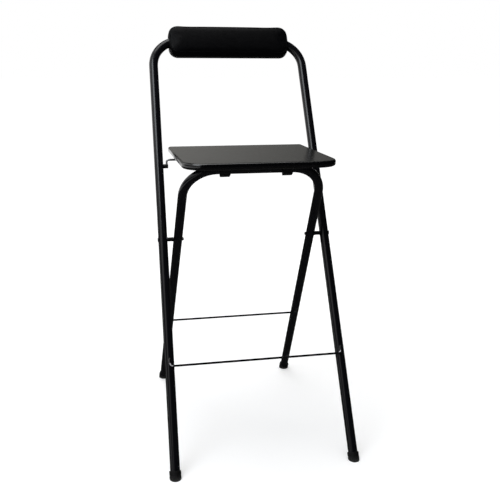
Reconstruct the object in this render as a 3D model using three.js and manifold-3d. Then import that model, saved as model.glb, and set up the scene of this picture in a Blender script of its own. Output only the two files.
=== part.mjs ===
// Folding bar stool, in millimetres, +Z up, X across the seat, Y from front to back.
// A tall bent tube carries the backrest and stands on the front feet. A lower bent tube
// crosses inside it, stands on the rear feet and carries the seat's front edge. The seat
// board swings on a cranked rod that turns in the tall tube. The origin lies on the floor,
// in the middle of the four feet.

import * as THREE from 'three';
import { mergeVertices } from 'three/addons/utils/BufferGeometryUtils.js';
import Module from 'manifold-3d';

const wasm = await Module();
wasm.setup();

// Shared clearances.
const fitGap = 0.3;
const cutOverrun = 6;

// Tubes and where their axes run.
const tallTubeDiameter = 22;
const tallTubeWall = 1.5;
const lowTubeDiameter = 21;
const lowTubeWall = 1.5;
const footDepthSpan = 551;
const tallFootSpan = 416;
const lowFootSpan = 361;
const backBarHeight = 944;
const backBarSetback = 497;
const backBarSpan = 385;
const crossbarHeight = 665;
const crossbarReach = 407;
const crossbarSpan = 316;
const backBendRadius = 70;
const crossbarBendRadius = 75;

// Rubber feet.
const footCapDiameter = 26.6;
const footCapHeight = 15;
const footStemLength = 16;
const footCapLip = 1.4;
const footSoleThickness = 4;

// Footrest rod on the tall tube and spreader rod on the low tube.
const stretcherRodDiameter = 5;
const stretcherBendRadius = 6;
const stretcherUpturn = 18;
const footrestAxisHeight = 218;
const spreaderAxisHeight = 236;

// Seat board: it rests on the crossbar and fits between the tall tube's legs.
const seatSideGap = 15;
const seatThickness = 15;
const seatRestGap = 0.5;
const seatFrontOverhang = 92.4;
const seatRearOverhang = 38;
const seatFrontCornerRadius = 50;
const seatRearCornerRadius = 8;
const seatEdgeBand = 3;

// Cranked rod that the seat swings on.
const hingeAxisDrop = 29;
const hingeRodDiameter = 5;
const hingeRodCrank = 15.5;
const hingeRodBendRadius = 5;
const hingeRodSideGap = 7;
const knuckleDiameter = 10.4;
const knuckleEndWall = 0.8;
const spigotDiameter = 7.2;
const spigotReach = 4;

// Clips that hold the rod under the board.
const rodClipSpacing = 142;
const rodClipWidth = 22;
const rodClipLength = 40;
const rodClipFlange = 4;
const rodClipNeckWidth = 17;
const rodClipFootWidth = 11;
const rodClipFootWall = 2.6;
const rodClipScrewOffset = 14;

// Hooks that drop over the crossbar.
const hookSpacing = 142;
const hookWidth = 26;
const hookTipWidth = 21;
const hookFlange = 5;
const hookFlangeLength = 24;
const hookCheek = 5;
const hookDrop = 5.2;
const hookToe = 5;
const hookBarGap = 0.4;
const hookReleaseSlope = 1.92;
const hookGusset = 8;
const hookScrewPitch = 13;
const hookScrewSetback = 15;

// Screws under the seat.
const boardScrewDiameter = 4;
const boardScrewHeadDiameter = 8;
const boardScrewHeadHeight = 2.4;
const boardScrewBite = 9;
const screwSocketDiameter = 3;
const screwSocketDepth = 1.3;

// Pivot between the two frames.
const pivotBoltDiameter = 6;
const pivotHeadDiameter = 8.6;
const pivotHeadHeight = 3.6;
const pivotSpacerDiameter = 10;
const pivotWasherDiameter = 11;
const pivotWasherThickness = 1.4;
const pivotSleeveDiameter = 9;
const pivotSleeveLength = 13;
const pivotSleeveHeadDiameter = 11;
const pivotSleeveHeadHeight = 0.9;

// Backrest: a padded front half and a moulded rear half that close around the bar.
const padWidth = 311;
const padHeight = 79;
const padCornerRadius = 23;
const padFrontReach = 18.5;
const padFrontRoll = 9;
const padCrown = 2;
const padSidePull = 0.8;
const padDrop = 1.9;
const padOffset = 4;
const coverReach = 16;
const coverRoll = 7;
const backScrewPitch = 178;
const backScrewDiameter = 5;
const backScrewHeadDiameter = 9.5;
const backScrewHeadHeight = 3;
const backScrewRecess = 1.6;
const backScrewBite = 4;

// How finely round shapes are divided.
const tubeSides = 20;
const boreSides = 12;
const rodSides = 12;
const turnedSides = 14;
const tubeBendSteps = 9;
const rodBendSteps = 4;
const cornerSteps = 6;
const seatCornerSteps = 8;
const edgeSteps = 4;
const domeSteps = 3;
const socketSides = 6;
const weldDistance = 1e-4;
const headShoulderShare = 0.33;
const leastCornerShare = 0.33;
const mostCornerShare = 0.98;
const crownShares = [0.25, 0.5, 0.75, 0.95];

// Radii and lines worked out from the sizes above.
const tallRadius = tallTubeDiameter / 2;
const lowRadius = lowTubeDiameter / 2;
const capRadius = footCapDiameter / 2;
const stretcherRadius = stretcherRodDiameter / 2;
const hingeRodRadius = hingeRodDiameter / 2;
const tallLean = Math.atan2(backBarSetback, backBarHeight);
const lowLean = Math.atan2(crossbarReach, crossbarHeight);
const frontSoleReach = capRadius / Math.cos(tallLean);
const rearSoleReach = capRadius / Math.cos(lowLean);
const frontFootY = -footDepthSpan / 2 - (rearSoleReach - frontSoleReach) / 2;
const rearFootY = frontFootY + footDepthSpan;
const backBarY = frontFootY + backBarSetback;
const crossbarY = rearFootY - crossbarReach;
const pivotHeight = footDepthSpan / (Math.tan(tallLean) + Math.tan(lowLean));
const pivotY = frontFootY + pivotHeight * Math.tan(tallLean);
const seatUnderside = crossbarHeight + lowRadius + seatRestGap;
const seatTopHeight = seatUnderside + seatThickness;
const hingeAxisHeight = seatUnderside - hingeAxisDrop;
const hingeY = frontFootY + hingeAxisHeight * Math.tan(tallLean);
const seatFrontY = crossbarY - seatFrontOverhang;
const seatDepth = hingeY + seatRearOverhang - seatFrontY;
const seatMountHeight = seatUnderside - fitGap;

const leftAndRight = [['left', -1], ['right', 1]];

// Colours and finishes seen in the photograph.
const finishes = {
  blackPaint: { color: 0x101013, roughness: 0.32, metalness: 0.35 },
  seatLaminate: { color: 0x17171a, roughness: 0.4, metalness: 0.0 },
  blackPlastic: { color: 0x0d0d0f, roughness: 0.5, metalness: 0.0 },
  blackRubber: { color: 0x0b0b0c, roughness: 0.8, metalness: 0.0 },
  padCover: { color: 0x0b0b0d, roughness: 0.55, metalness: 0.0 },
  brightZinc: { color: 0xb9bcc0, roughness: 0.3, metalness: 0.9 },
  blackZinc: { color: 0x1c1c20, roughness: 0.4, metalness: 0.8 },
};

// Point on the line from a to b at a given height.
function pointAtHeight(a, b, height) {
  const share = (height - a.z) / (b.z - a.z);
  return a.clone().lerp(b, share);
}

function signedVolume(geometry) {
  const position = geometry.getAttribute('position');
  const index = geometry.getIndex();
  const a = new THREE.Vector3();
  const b = new THREE.Vector3();
  const c = new THREE.Vector3();
  let sum = 0;
  for (let i = 0; i < index.count; i += 3) {
    a.fromBufferAttribute(position, index.getX(i));
    b.fromBufferAttribute(position, index.getX(i + 1));
    c.fromBufferAttribute(position, index.getX(i + 2));
    sum += a.dot(b.cross(c));
  }
  return sum;
}

// Keeps only positions, joins shared corners and turns the faces outward.
function closedBody(geometry) {
  const bare = geometry.clone();
  bare.deleteAttribute('normal');
  bare.deleteAttribute('uv');
  const merged = mergeVertices(bare, weldDistance);
  if (signedVolume(merged) < 0) {
    const index = merged.getIndex();
    for (let i = 0; i < index.count; i += 3) {
      const kept = index.getX(i);
      index.setX(i, index.getX(i + 1));
      index.setX(i + 1, kept);
    }
  }
  return merged;
}

function toSolid(geometry) {
  const body = closedBody(geometry);
  const vertProperties = new Float32Array(body.getAttribute('position').array);
  const triVerts = new Uint32Array(body.getIndex().array);
  return new wasm.Manifold(new wasm.Mesh({ numProp: 3, vertProperties, triVerts }));
}

function fromSolid(solid) {
  const mesh = solid.getMesh();
  const geometry = new THREE.BufferGeometry();
  geometry.setAttribute('position', new THREE.BufferAttribute(mesh.vertProperties, 3));
  geometry.setIndex(new THREE.BufferAttribute(mesh.triVerts, 1));
  return geometry;
}

function cutFrom(geometry, tools) {
  return fromSolid(tools.reduce((solid, tool) => solid.subtract(toSolid(tool)), toSolid(geometry)));
}

function joinAll(geometries) {
  return fromSolid(geometries.slice(1).reduce((solid, more) => solid.add(toSolid(more)), toSolid(geometries[0])));
}

function keepInside(geometry, limit) {
  return fromSolid(toSolid(geometry).intersect(toSolid(limit)));
}

// A path that visits chosen stations, so that straight runs take no extra rings.
class StationPath extends THREE.Curve {
  constructor(stations) {
    super();
    this.stations = stations;
  }

  station(share) {
    return this.stations[Math.round(share * (this.stations.length - 1))];
  }

  getPoint(share, target = new THREE.Vector3()) {
    return target.copy(this.station(share).point);
  }

  getPointAt(share, target = new THREE.Vector3()) {
    return this.getPoint(share, target);
  }

  getTangentAt(share, target = new THREE.Vector3()) {
    return target.copy(this.station(share).tangent);
  }
}

// Straight runs between corners, with each inner corner bent to one radius.
function bentPath(corners, bendRadius, bendSteps) {
  const stations = [];
  const last = corners.length - 1;
  const heading = (from, to) => corners[to].clone().sub(corners[from]).normalize();
  stations.push({ point: corners[0].clone(), tangent: heading(0, 1) });
  for (let i = 1; i < last; i += 1) {
    const inward = heading(i - 1, i);
    const outward = heading(i, i + 1);
    const turn = inward.angleTo(outward);
    const axis = inward.clone().cross(outward).normalize();
    const setback = bendRadius * Math.tan(turn / 2);
    const start = corners[i].clone().addScaledVector(inward, -setback);
    const toCentre = axis.clone().cross(inward).multiplyScalar(bendRadius);
    const centre = start.clone().add(toCentre);
    for (let step = 0; step <= bendSteps; step += 1) {
      const angle = (turn * step) / bendSteps;
      const spoke = toCentre.clone().negate().applyAxisAngle(axis, angle);
      const tangent = inward.clone().applyAxisAngle(axis, angle);
      stations.push({ point: centre.clone().add(spoke), tangent });
    }
  }
  stations.push({ point: corners[last].clone(), tangent: heading(last - 1, last) });
  return new StationPath(stations);
}

function ringPoints(radius, sides) {
  const points = [];
  for (let i = 0; i < sides; i += 1) {
    const angle = (2 * Math.PI * i) / sides;
    points.push(new THREE.Vector2(radius * Math.cos(angle), radius * Math.sin(angle)));
  }
  return points;
}

function sweepRound(path, radius, sides, boreRadius = 0) {
  const shape = new THREE.Shape(ringPoints(radius, sides));
  if (boreRadius > 0) {
    shape.holes.push(new THREE.Path(ringPoints(boreRadius, boreSides)));
  }
  const steps = path.stations.length - 1;
  return closedBody(new THREE.ExtrudeGeometry(shape, { steps, bevelEnabled: false, extrudePath: path }));
}

// Turns a profile of [radius, distance] pairs about a line that starts at a point.
function turnedAlong(profile, start, direction, sides = turnedSides) {
  const points = profile.map(([radius, along]) => new THREE.Vector2(radius, along));
  const geometry = new THREE.LatheGeometry(points, sides);
  const up = new THREE.Vector3(0, 1, 0);
  const turn = new THREE.Quaternion().setFromUnitVectors(up, direction.clone().normalize());
  geometry.applyQuaternion(turn);
  geometry.translate(start.x, start.y, start.z);
  return closedBody(geometry);
}

function roundBar(radius, start, direction, length, sides = turnedSides) {
  return turnedAlong([[0, 0], [radius, 0], [radius, length], [0, length]], start, direction, sides);
}

// A bolt or screw: a domed head with a six-sided socket, and a shank that runs the other way.
function headedPin(head, shank, start, direction, socket) {
  const profile = [[0, -shank.length], [shank.radius, -shank.length], [shank.radius, 0], [head.radius, 0]];
  const shoulder = head.height * headShoulderShare;
  profile.push([head.radius, shoulder]);
  for (let step = 1; step < domeSteps; step += 1) {
    const angle = (Math.PI / 2) * (step / domeSteps);
    const radius = head.radius * Math.cos(angle);
    profile.push([radius, shoulder + (head.height - shoulder) * Math.sin(angle)]);
  }
  profile.push([0, head.height]);
  const body = turnedAlong(profile, start, direction);
  if (!socket) {
    return body;
  }
  const mouth = start.clone().addScaledVector(direction, head.height - socket.depth);
  return cutFrom(body, [roundBar(socket.radius, mouth, direction, socket.depth + head.height, socketSides)]);
}

// Outline in the X and Z directions, pushed along Y from yStart to yEnd.
function slabAlongY(points, yStart, yEnd) {
  const shape = new THREE.Shape(points.map(([x, z]) => new THREE.Vector2(x, z)));
  const geometry = new THREE.ExtrudeGeometry(shape, { depth: yEnd - yStart, bevelEnabled: false });
  geometry.rotateX(Math.PI / 2);
  geometry.translate(0, yEnd, 0);
  return closedBody(geometry);
}

// Outline in the Y and Z directions, pushed along X about a middle plane.
function slabAlongX(points, middle, width, hole) {
  const shape = new THREE.Shape(points.map(([y, z]) => new THREE.Vector2(y, z)));
  if (hole) {
    const rim = ringPoints(hole.radius, boreSides).map((p) => p.add(new THREE.Vector2(hole.y, hole.z)));
    shape.holes.push(new THREE.Path(rim));
  }
  const geometry = new THREE.ExtrudeGeometry(shape, { depth: width, bevelEnabled: false });
  geometry.rotateY(Math.PI / 2);
  geometry.rotateX(Math.PI / 2);
  geometry.translate(middle - width / 2, 0, 0);
  return closedBody(geometry);
}

function addPiece(parent, name, geometry, finish) {
  const mesh = new THREE.Mesh(closedBody(geometry), new THREE.MeshStandardMaterial({ ...finish }));
  mesh.name = name;
  mesh.geometry.computeVertexNormals();
  parent.add(mesh);
  return mesh;
}

const xAxis = new THREE.Vector3(1, 0, 0);
const zAxis = new THREE.Vector3(0, 0, 1);

// Axis points of the tall and low legs, left at -1 and right at 1.
const tallFootPoint = (side) => new THREE.Vector3((side * tallFootSpan) / 2, frontFootY, 0);
const tallCorner = (side) => new THREE.Vector3((side * backBarSpan) / 2, backBarY, backBarHeight);
const lowFootPoint = (side) => new THREE.Vector3((side * lowFootSpan) / 2, rearFootY, 0);
const lowCorner = (side) => new THREE.Vector3((side * crossbarSpan) / 2, crossbarY, crossbarHeight);
const tallAt = (side, height) => pointAtHeight(tallFootPoint(side), tallCorner(side), height);
const lowAt = (side, height) => pointAtHeight(lowFootPoint(side), lowCorner(side), height);

// Height at which a leg's axis stops, so that its cut end clears the rubber sole.
function legEndHeight(foot, corner, radius) {
  const slope = corner.clone().sub(foot).normalize();
  return footSoleThickness + fitGap + radius * Math.sqrt(1 - slope.z * slope.z);
}

const tallEndHeight = legEndHeight(tallFootPoint(1), tallCorner(1), tallRadius);
const lowEndHeight = legEndHeight(lowFootPoint(1), lowCorner(1), lowRadius);

function framePath(axisAt, corner, endHeight, bendRadius) {
  const corners = [axisAt(-1, endHeight), corner(-1), corner(1), axisAt(1, endHeight)];
  return bentPath(corners, bendRadius, tubeBendSteps);
}

// Backrest pieces are placed in a frame that leans with the tall tube: -Y is its front.
const backrestPose = new THREE.Matrix4().makeRotationX(-tallLean).setPosition(0, backBarY, backBarHeight);
const backScrewXs = [-backScrewPitch / 2, backScrewPitch / 2];

function backScrewBore(x, radius, yFront, yBack) {
  return roundBar(radius, new THREE.Vector3(x, yFront, 0), new THREE.Vector3(0, 1, 0), yBack - yFront);
}

// The tall frame: bent tube, footrest rod, feet.
function tallFrame() {
  const path = framePath(tallAt, tallCorner, tallEndHeight, backBendRadius);
  const tube = sweepRound(path, tallRadius, tubeSides, tallRadius - tallTubeWall);
  const tools = [];
  for (const [, side] of leftAndRight) {
    const outward = xAxis.clone().multiplyScalar(side);
    const inward = outward.clone().negate();
    const pivot = new THREE.Vector3(tallAt(side, pivotHeight).x, pivotY, pivotHeight);
    const hinge = new THREE.Vector3(tallAt(side, hingeAxisHeight).x, hingeY, hingeAxisHeight);
    const reach = tallRadius + cutOverrun;
    tools.push(roundBar(pivotSleeveDiameter / 2 + fitGap, pivot, outward, reach, boreSides));
    tools.push(roundBar(pivotBoltDiameter / 2 + fitGap, pivot, inward, reach, boreSides));
    tools.push(roundBar(spigotDiameter / 2 + fitGap, hinge, inward, reach, boreSides));
  }
  for (const x of backScrewXs) {
    const reach = tallRadius + cutOverrun;
    const bore = backScrewBore(x, backScrewDiameter / 2 + fitGap, -reach, reach);
    tools.push(bore.applyMatrix4(backrestPose));
  }
  return cutFrom(tube, tools);
}

// A thin rod across two legs, with both ends turned up along the legs' front.
function stretcherRod(axisAt, axisHeight, radius, frontward) {
  const offset = frontward.clone().multiplyScalar(radius + stretcherRadius + fitGap);
  const corners = [];
  for (const side of [-1, 1]) {
    const low = axisAt(side, axisHeight).add(offset);
    const rise = axisAt(side, axisHeight + backBarHeight).sub(axisAt(side, axisHeight)).setLength(stretcherUpturn);
    const ends = [low.clone().add(rise), low];
    corners.push(...(side < 0 ? ends : ends.reverse()));
  }
  return sweepRound(bentPath(corners, stretcherBendRadius, rodBendSteps), stretcherRadius, rodSides);
}

function footCap(foot, corner, endHeight, tubeRadius, wall) {
  const slope = corner.clone().sub(foot).normalize();
  const start = pointAtHeight(foot, corner, -capRadius);
  const length = pointAtHeight(foot, corner, footCapHeight).distanceTo(start);
  const profile = [[0, 0], [capRadius, 0], [capRadius, length - footCapLip]];
  profile.push([capRadius - footCapLip, length]);
  profile.push([0, length]);
  const shell = turnedAlong(profile, start, slope, tubeSides);
  const boreStart = pointAtHeight(foot, corner, endHeight).addScaledVector(slope, -fitGap);
  const bore = roundBar(tubeRadius + fitGap, boreStart, slope, length, tubeSides);
  const reach = capRadius * 4;
  const aboveFloor = new THREE.BoxGeometry(reach, reach, reach);
  aboveFloor.translate(foot.x, foot.y, reach / 2);
  const cup = cutFrom(keepInside(shell, aboveFloor), [bore]);
  const stemStart = boreStart.clone().addScaledVector(slope, -fitGap);
  return joinAll([cup, roundBar(tubeRadius - wall - fitGap, stemStart, slope, footStemLength, boreSides)]);
}

// Pivot hardware: a bolt from inside, a spacer and washer between the tubes, a sleeve nut outside.
const pivotTallX = Math.abs(tallAt(1, pivotHeight).x);
const pivotLowX = Math.abs(lowAt(1, pivotHeight).x);
const spacerInnerX = pivotLowX + lowRadius + fitGap + pivotWasherThickness + fitGap;
const spacerOuterX = pivotTallX - tallRadius - fitGap;

function ringAlongX(side, innerX, outerX, outerRadius, boreRadius) {
  const length = outerX - innerX;
  const profile = [[boreRadius, 0], [outerRadius, 0], [outerRadius, length], [boreRadius, length], [boreRadius, 0]];
  const start = new THREE.Vector3(side * innerX, pivotY, pivotHeight);
  return turnedAlong(profile, start, new THREE.Vector3(side, 0, 0));
}

function pivotBolt(side) {
  const headFace = pivotLowX - lowRadius - fitGap;
  const tip = pivotTallX + tallRadius - fitGap;
  const head = { radius: pivotHeadDiameter / 2, height: pivotHeadHeight };
  const shank = { radius: pivotBoltDiameter / 2, length: tip - headFace };
  const start = new THREE.Vector3(side * headFace, pivotY, pivotHeight);
  return headedPin(head, shank, start, new THREE.Vector3(-side, 0, 0));
}

function pivotSleeve(side) {
  const face = pivotTallX + tallRadius + fitGap;
  const barrel = pivotSleeveDiameter / 2;
  const bore = pivotBoltDiameter / 2 + fitGap;
  const headRadius = pivotSleeveHeadDiameter / 2;
  const head = pivotSleeveHeadHeight;
  const mouth = -pivotSleeveLength;
  const profile = [[0, 0], [bore, 0], [bore, mouth], [barrel, mouth], [barrel, 0]];
  profile.push([headRadius, 0], [headRadius - head / 2, head], [0, head]);
  return turnedAlong(profile, new THREE.Vector3(side * face, pivotY, pivotHeight), new THREE.Vector3(side, 0, 0));
}

function lowFrame() {
  const path = framePath(lowAt, lowCorner, lowEndHeight, crossbarBendRadius);
  const tube = sweepRound(path, lowRadius, tubeSides, lowRadius - lowTubeWall);
  const tools = leftAndRight.map(([, side]) => {
    const reach = lowRadius + cutOverrun;
    const start = new THREE.Vector3(side * (pivotLowX - reach), pivotY, pivotHeight);
    return roundBar(pivotBoltDiameter / 2 + fitGap, start, new THREE.Vector3(side, 0, 0), 2 * reach, boreSides);
  });
  return cutFrom(tube, tools);
}

// Rounded rectangle, centred on zero, corners from the rear right going round.
function roundedOutline(halfX, halfY, radii, steps) {
  const points = [];
  for (const [quarter, [signX, signY]] of [[1, 1], [-1, 1], [-1, -1], [1, -1]].entries()) {
    const radius = radii[quarter];
    const cx = signX * (halfX - radius);
    const cy = signY * (halfY - radius);
    for (let step = 0; step <= steps; step += 1) {
      const angle = (Math.PI / 2) * (quarter + step / steps);
      points.push(new THREE.Vector2(cx + radius * Math.cos(angle), cy + radius * Math.sin(angle)));
    }
  }
  return points;
}

// The space between the tall tube's legs at the height of the seat's hinge.
const hingeTubeFace = Math.abs(tallAt(1, hingeAxisHeight).x) - tallRadius;
const seatWidth = 2 * (hingeTubeFace - seatSideGap);

// The seat board, with a half-round edge all round and blind holes for its screws.
const boardScrewSpots = [];
for (const [name, side] of leftAndRight) {
  const x = (side * rodClipSpacing) / 2;
  boardScrewSpots.push({ name: `rod_clip_screw_${name}_front`, x, y: hingeY - rodClipScrewOffset, seat: rodClipFlange });
  boardScrewSpots.push({ name: `rod_clip_screw_${name}_rear`, x, y: hingeY + rodClipScrewOffset, seat: rodClipFlange });
}
const hookCheekFront = crossbarY - lowRadius - hookBarGap - hookCheek;
for (const [name, side] of leftAndRight) {
  const y = hookCheekFront - hookScrewSetback;
  for (const [place, shift] of [['outer', 1], ['inner', -1]]) {
    const x = side * (hookSpacing / 2 + (shift * hookScrewPitch) / 2);
    boardScrewSpots.push({ name: `seat_hook_screw_${name}_${place}`, x, y, seat: hookFlange });
  }
}

function boardScrewHole({ x, y }) {
  const start = new THREE.Vector3(x, y, seatUnderside - cutOverrun);
  const depth = cutOverrun + boardScrewBite + fitGap;
  return roundBar(boardScrewDiameter / 2 + fitGap, start, zAxis, depth, boreSides);
}

function boardScrew({ x, y, seat }) {
  const face = seatMountHeight - seat - fitGap;
  const head = { radius: boardScrewHeadDiameter / 2, height: boardScrewHeadHeight };
  const shank = { radius: boardScrewDiameter / 2, length: seatUnderside + boardScrewBite - face };
  const socket = { radius: screwSocketDiameter / 2, depth: screwSocketDepth };
  return headedPin(head, shank, new THREE.Vector3(x, y, face), zAxis.clone().negate(), socket);
}

function seatBoard() {
  const round = (seatThickness - seatEdgeBand) / 2;
  const radii = [seatRearCornerRadius, seatRearCornerRadius, seatFrontCornerRadius, seatFrontCornerRadius];
  const inner = radii.map((radius) => Math.max(radius - round, fitGap));
  const outline = roundedOutline(seatWidth / 2 - round, seatDepth / 2 - round, inner, seatCornerSteps);
  const bevel = { bevelEnabled: true, bevelThickness: round, bevelSize: round, bevelSegments: edgeSteps };
  const board = new THREE.ExtrudeGeometry(new THREE.Shape(outline), { depth: seatEdgeBand, ...bevel });
  board.translate(0, seatFrontY + seatDepth / 2, seatUnderside + round);
  return cutFrom(board, boardScrewSpots.map(boardScrewHole));
}

// The cranked rod: its ends turn outward into the tall tube, its middle lies under the seat.
const hingeRodX = seatWidth / 2 + hingeRodSideGap;
const knuckleInnerX = hingeRodX - hingeRodRadius - knuckleEndWall;
const knuckleOuterX = hingeTubeFace - fitGap;
const spigotEndX = knuckleOuterX + fitGap + tallTubeWall + spigotReach;
const hingeRodHeight = hingeAxisHeight + hingeRodCrank;

function hingeRodPath() {
  const ends = [];
  for (const side of [-1, 1]) {
    const end = new THREE.Vector3(side * (spigotEndX - knuckleEndWall - fitGap), hingeY, hingeAxisHeight);
    const elbow = new THREE.Vector3(side * hingeRodX, hingeY, hingeAxisHeight);
    const shoulder = new THREE.Vector3(side * hingeRodX, hingeY, hingeRodHeight);
    ends.push(side < 0 ? [end, elbow, shoulder] : [shoulder, elbow, end]);
  }
  return bentPath(ends.flat(), hingeRodBendRadius, rodBendSteps);
}

function hingeKnuckle(side) {
  const length = knuckleOuterX - knuckleInnerX;
  const whole = spigotEndX - knuckleInnerX;
  const radius = knuckleDiameter / 2;
  const spigot = spigotDiameter / 2;
  const profile = [[0, 0], [radius, 0], [radius, length], [spigot, length], [spigot, whole], [0, whole]];
  const start = new THREE.Vector3(side * knuckleInnerX, hingeY, hingeAxisHeight);
  const body = turnedAlong(profile, start, new THREE.Vector3(side, 0, 0));
  return cutFrom(body, [sweepRound(hingeRodPath(), hingeRodRadius + fitGap, rodSides)]);
}

function rodClip(side) {
  const top = seatMountHeight;
  const flange = top - rodClipFlange;
  const foot = hingeRodHeight - hingeRodRadius - fitGap - rodClipFootWall;
  const end = rodClipLength / 2;
  const neck = rodClipNeckWidth / 2;
  const toe = rodClipFootWidth / 2;
  const rear = [[end, top], [end, flange], [neck, flange], [toe, foot]];
  const front = rear.map(([y, z]) => [-y, z]).reverse();
  const outline = [...rear, ...front].map(([y, z]) => [hingeY + y, z]);
  const hole = { y: hingeY, z: hingeRodHeight, radius: hingeRodRadius + fitGap };
  const middle = (side * rodClipSpacing) / 2;
  const body = slabAlongX(outline, middle, rodClipWidth, hole);
  const holes = boardScrewSpots.filter(({ x, seat }) => seat === rodClipFlange && Math.sign(x) === side);
  return cutFrom(body, holes.map((spot) => screwPassage(spot)));
}

function screwPassage({ x, y }) {
  const start = new THREE.Vector3(x, y, hingeAxisHeight);
  return roundBar(boardScrewDiameter / 2 + fitGap, start, zAxis, seatTopHeight - hingeAxisHeight, boreSides);
}

// Hook: a flange under the board, and a cheek that drops in front of the crossbar and curls under it.
// Its inner face follows the bar and then runs down along the line on which the bar leaves.
function seatHook(side) {
  const top = seatMountHeight;
  const flange = top - hookFlange;
  const tip = crossbarHeight - lowRadius - hookDrop;
  const back = hookCheekFront + hookCheek;
  const front = hookCheekFront - hookFlangeLength;
  const cradle = lowRadius + hookBarGap;
  const curl = Math.atan(1 / hookReleaseSlope);
  const face = [];
  for (let step = 0; step <= cornerSteps; step += 1) {
    const angle = Math.PI + (curl * step) / cornerSteps;
    face.push([crossbarY + cradle * Math.cos(angle), crossbarHeight + cradle * Math.sin(angle)]);
  }
  const [curlY, curlHeight] = face[face.length - 1];
  const toeY = curlY + (curlHeight - tip) / hookReleaseSlope;
  const outline = [
    [back, top],
    ...face,
    [toeY, tip],
    [toeY - hookToe, tip],
    [hookCheekFront, crossbarHeight - lowRadius],
    [hookCheekFront, flange - hookGusset],
    [hookCheekFront - hookGusset, flange],
    [front, flange],
    [front, top],
  ];
  const middle = (side * hookSpacing) / 2;
  const body = slabAlongX(outline, middle, hookWidth);
  const wide = hookWidth / 2 + fitGap;
  const narrow = hookTipWidth / 2;
  const taper = [[-wide, top + cutOverrun], [-wide, flange - hookGusset], [-narrow, tip], [-narrow, tip - cutOverrun]];
  const mirror = taper.map(([x, z]) => [-x, z]).reverse();
  const limit = slabAlongY(
    [...taper, ...mirror].map(([x, z]) => [middle + x, z]),
    front - cutOverrun,
    toeY + cutOverrun,
  );
  const holes = boardScrewSpots.filter(({ x, seat }) => seat === hookFlange && Math.sign(x) === side);
  return cutFrom(keepInside(body, limit), holes.map((spot) => screwPassage(spot)));
}

// Each half of the backrest is a stack of rounded outlines from the bar's middle plane outward.
function shellRings(reach, roll, crown) {
  const rings = [{ inset: 0, depth: 0 }];
  for (let step = 0; step <= edgeSteps; step += 1) {
    const angle = (Math.PI / 2) * (step / edgeSteps);
    const depth = reach - crown - roll * (1 - Math.sin(angle));
    rings.push({ inset: roll * (1 - Math.cos(angle)), depth });
  }
  if (crown > 0) {
    for (const share of crownShares) {
      const inset = roll + (padHeight / 2 - roll) * share;
      rings.push({ inset, depth: reach - crown * (1 - share) ** 2 });
    }
  }
  return rings;
}

function backrestShell(rings, outward) {
  const positions = [];
  const faces = [];
  const count = 4 * (cornerSteps + 1);
  for (const { inset, depth } of rings) {
    const halfX = padWidth / 2 - inset;
    const halfZ = padHeight / 2 - inset;
    const corner = Math.max(padCornerRadius - inset, halfZ * leastCornerShare);
    const radius = Math.min(corner, halfZ * mostCornerShare);
    for (const point of roundedOutline(halfX, halfZ, [radius, radius, radius, radius], cornerSteps)) {
      const pull = 1 - (padSidePull * (1 - (point.x / halfX) ** 2)) / (padHeight / 2);
      positions.push(point.x + padOffset, outward * (fitGap / 2 + depth), point.y * pull - padDrop);
    }
  }
  for (let ring = 0; ring + 1 < rings.length; ring += 1) {
    for (let i = 0; i < count; i += 1) {
      const a = ring * count + i;
      const b = ring * count + ((i + 1) % count);
      faces.push(a, b, b + count, a, b + count, a + count);
    }
  }
  for (const [ring, flip] of [[0, false], [rings.length - 1, true]]) {
    const start = ring * count;
    const rim = [];
    for (let i = 0; i < count; i += 1) {
      rim.push(new THREE.Vector2(positions[3 * (start + i)], positions[3 * (start + i) + 2]));
    }
    for (const [a, b, c] of THREE.ShapeUtils.triangulateShape(rim, [])) {
      faces.push(start + a, start + (flip ? b : c), start + (flip ? c : b));
    }
  }
  const geometry = new THREE.BufferGeometry();
  geometry.setAttribute('position', new THREE.Float32BufferAttribute(positions, 3));
  geometry.setIndex(faces);
  return geometry;
}

// The channel that the bar lies in, in the backrest's own frame.
function barChannel() {
  const path = framePath(tallAt, tallCorner, tallEndHeight, backBendRadius);
  return sweepRound(path, tallRadius + fitGap, tubeSides).applyMatrix4(backrestPose.clone().invert());
}

function backPad() {
  const depth = tallRadius + backScrewBite + 2 * fitGap;
  const bores = backScrewXs.map((x) => backScrewBore(x, backScrewDiameter / 2 + fitGap, -depth, 0));
  return cutFrom(backrestShell(shellRings(padFrontReach, padFrontRoll, padCrown), -1), [barChannel(), ...bores]);
}

const backScrewSeat = fitGap / 2 + coverReach - backScrewRecess;

function backCover() {
  const reach = coverReach + cutOverrun;
  const bores = backScrewXs.flatMap((x) => [
    backScrewBore(x, backScrewDiameter / 2 + fitGap, 0, reach),
    backScrewBore(x, backScrewHeadDiameter / 2 + fitGap, backScrewSeat, reach),
  ]);
  return cutFrom(backrestShell(shellRings(coverReach, coverRoll, 0), 1), [barChannel(), ...bores]);
}

function backScrew(x) {
  const face = backScrewSeat + fitGap;
  const head = { radius: backScrewHeadDiameter / 2, height: backScrewHeadHeight };
  const shank = { radius: backScrewDiameter / 2, length: face + tallRadius + backScrewBite };
  const socket = { radius: screwSocketDiameter / 2, depth: screwSocketDepth };
  return headedPin(head, shank, new THREE.Vector3(x, face, 0), new THREE.Vector3(0, 1, 0), socket);
}

// The whole stool.
const stool = new THREE.Group();

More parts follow.
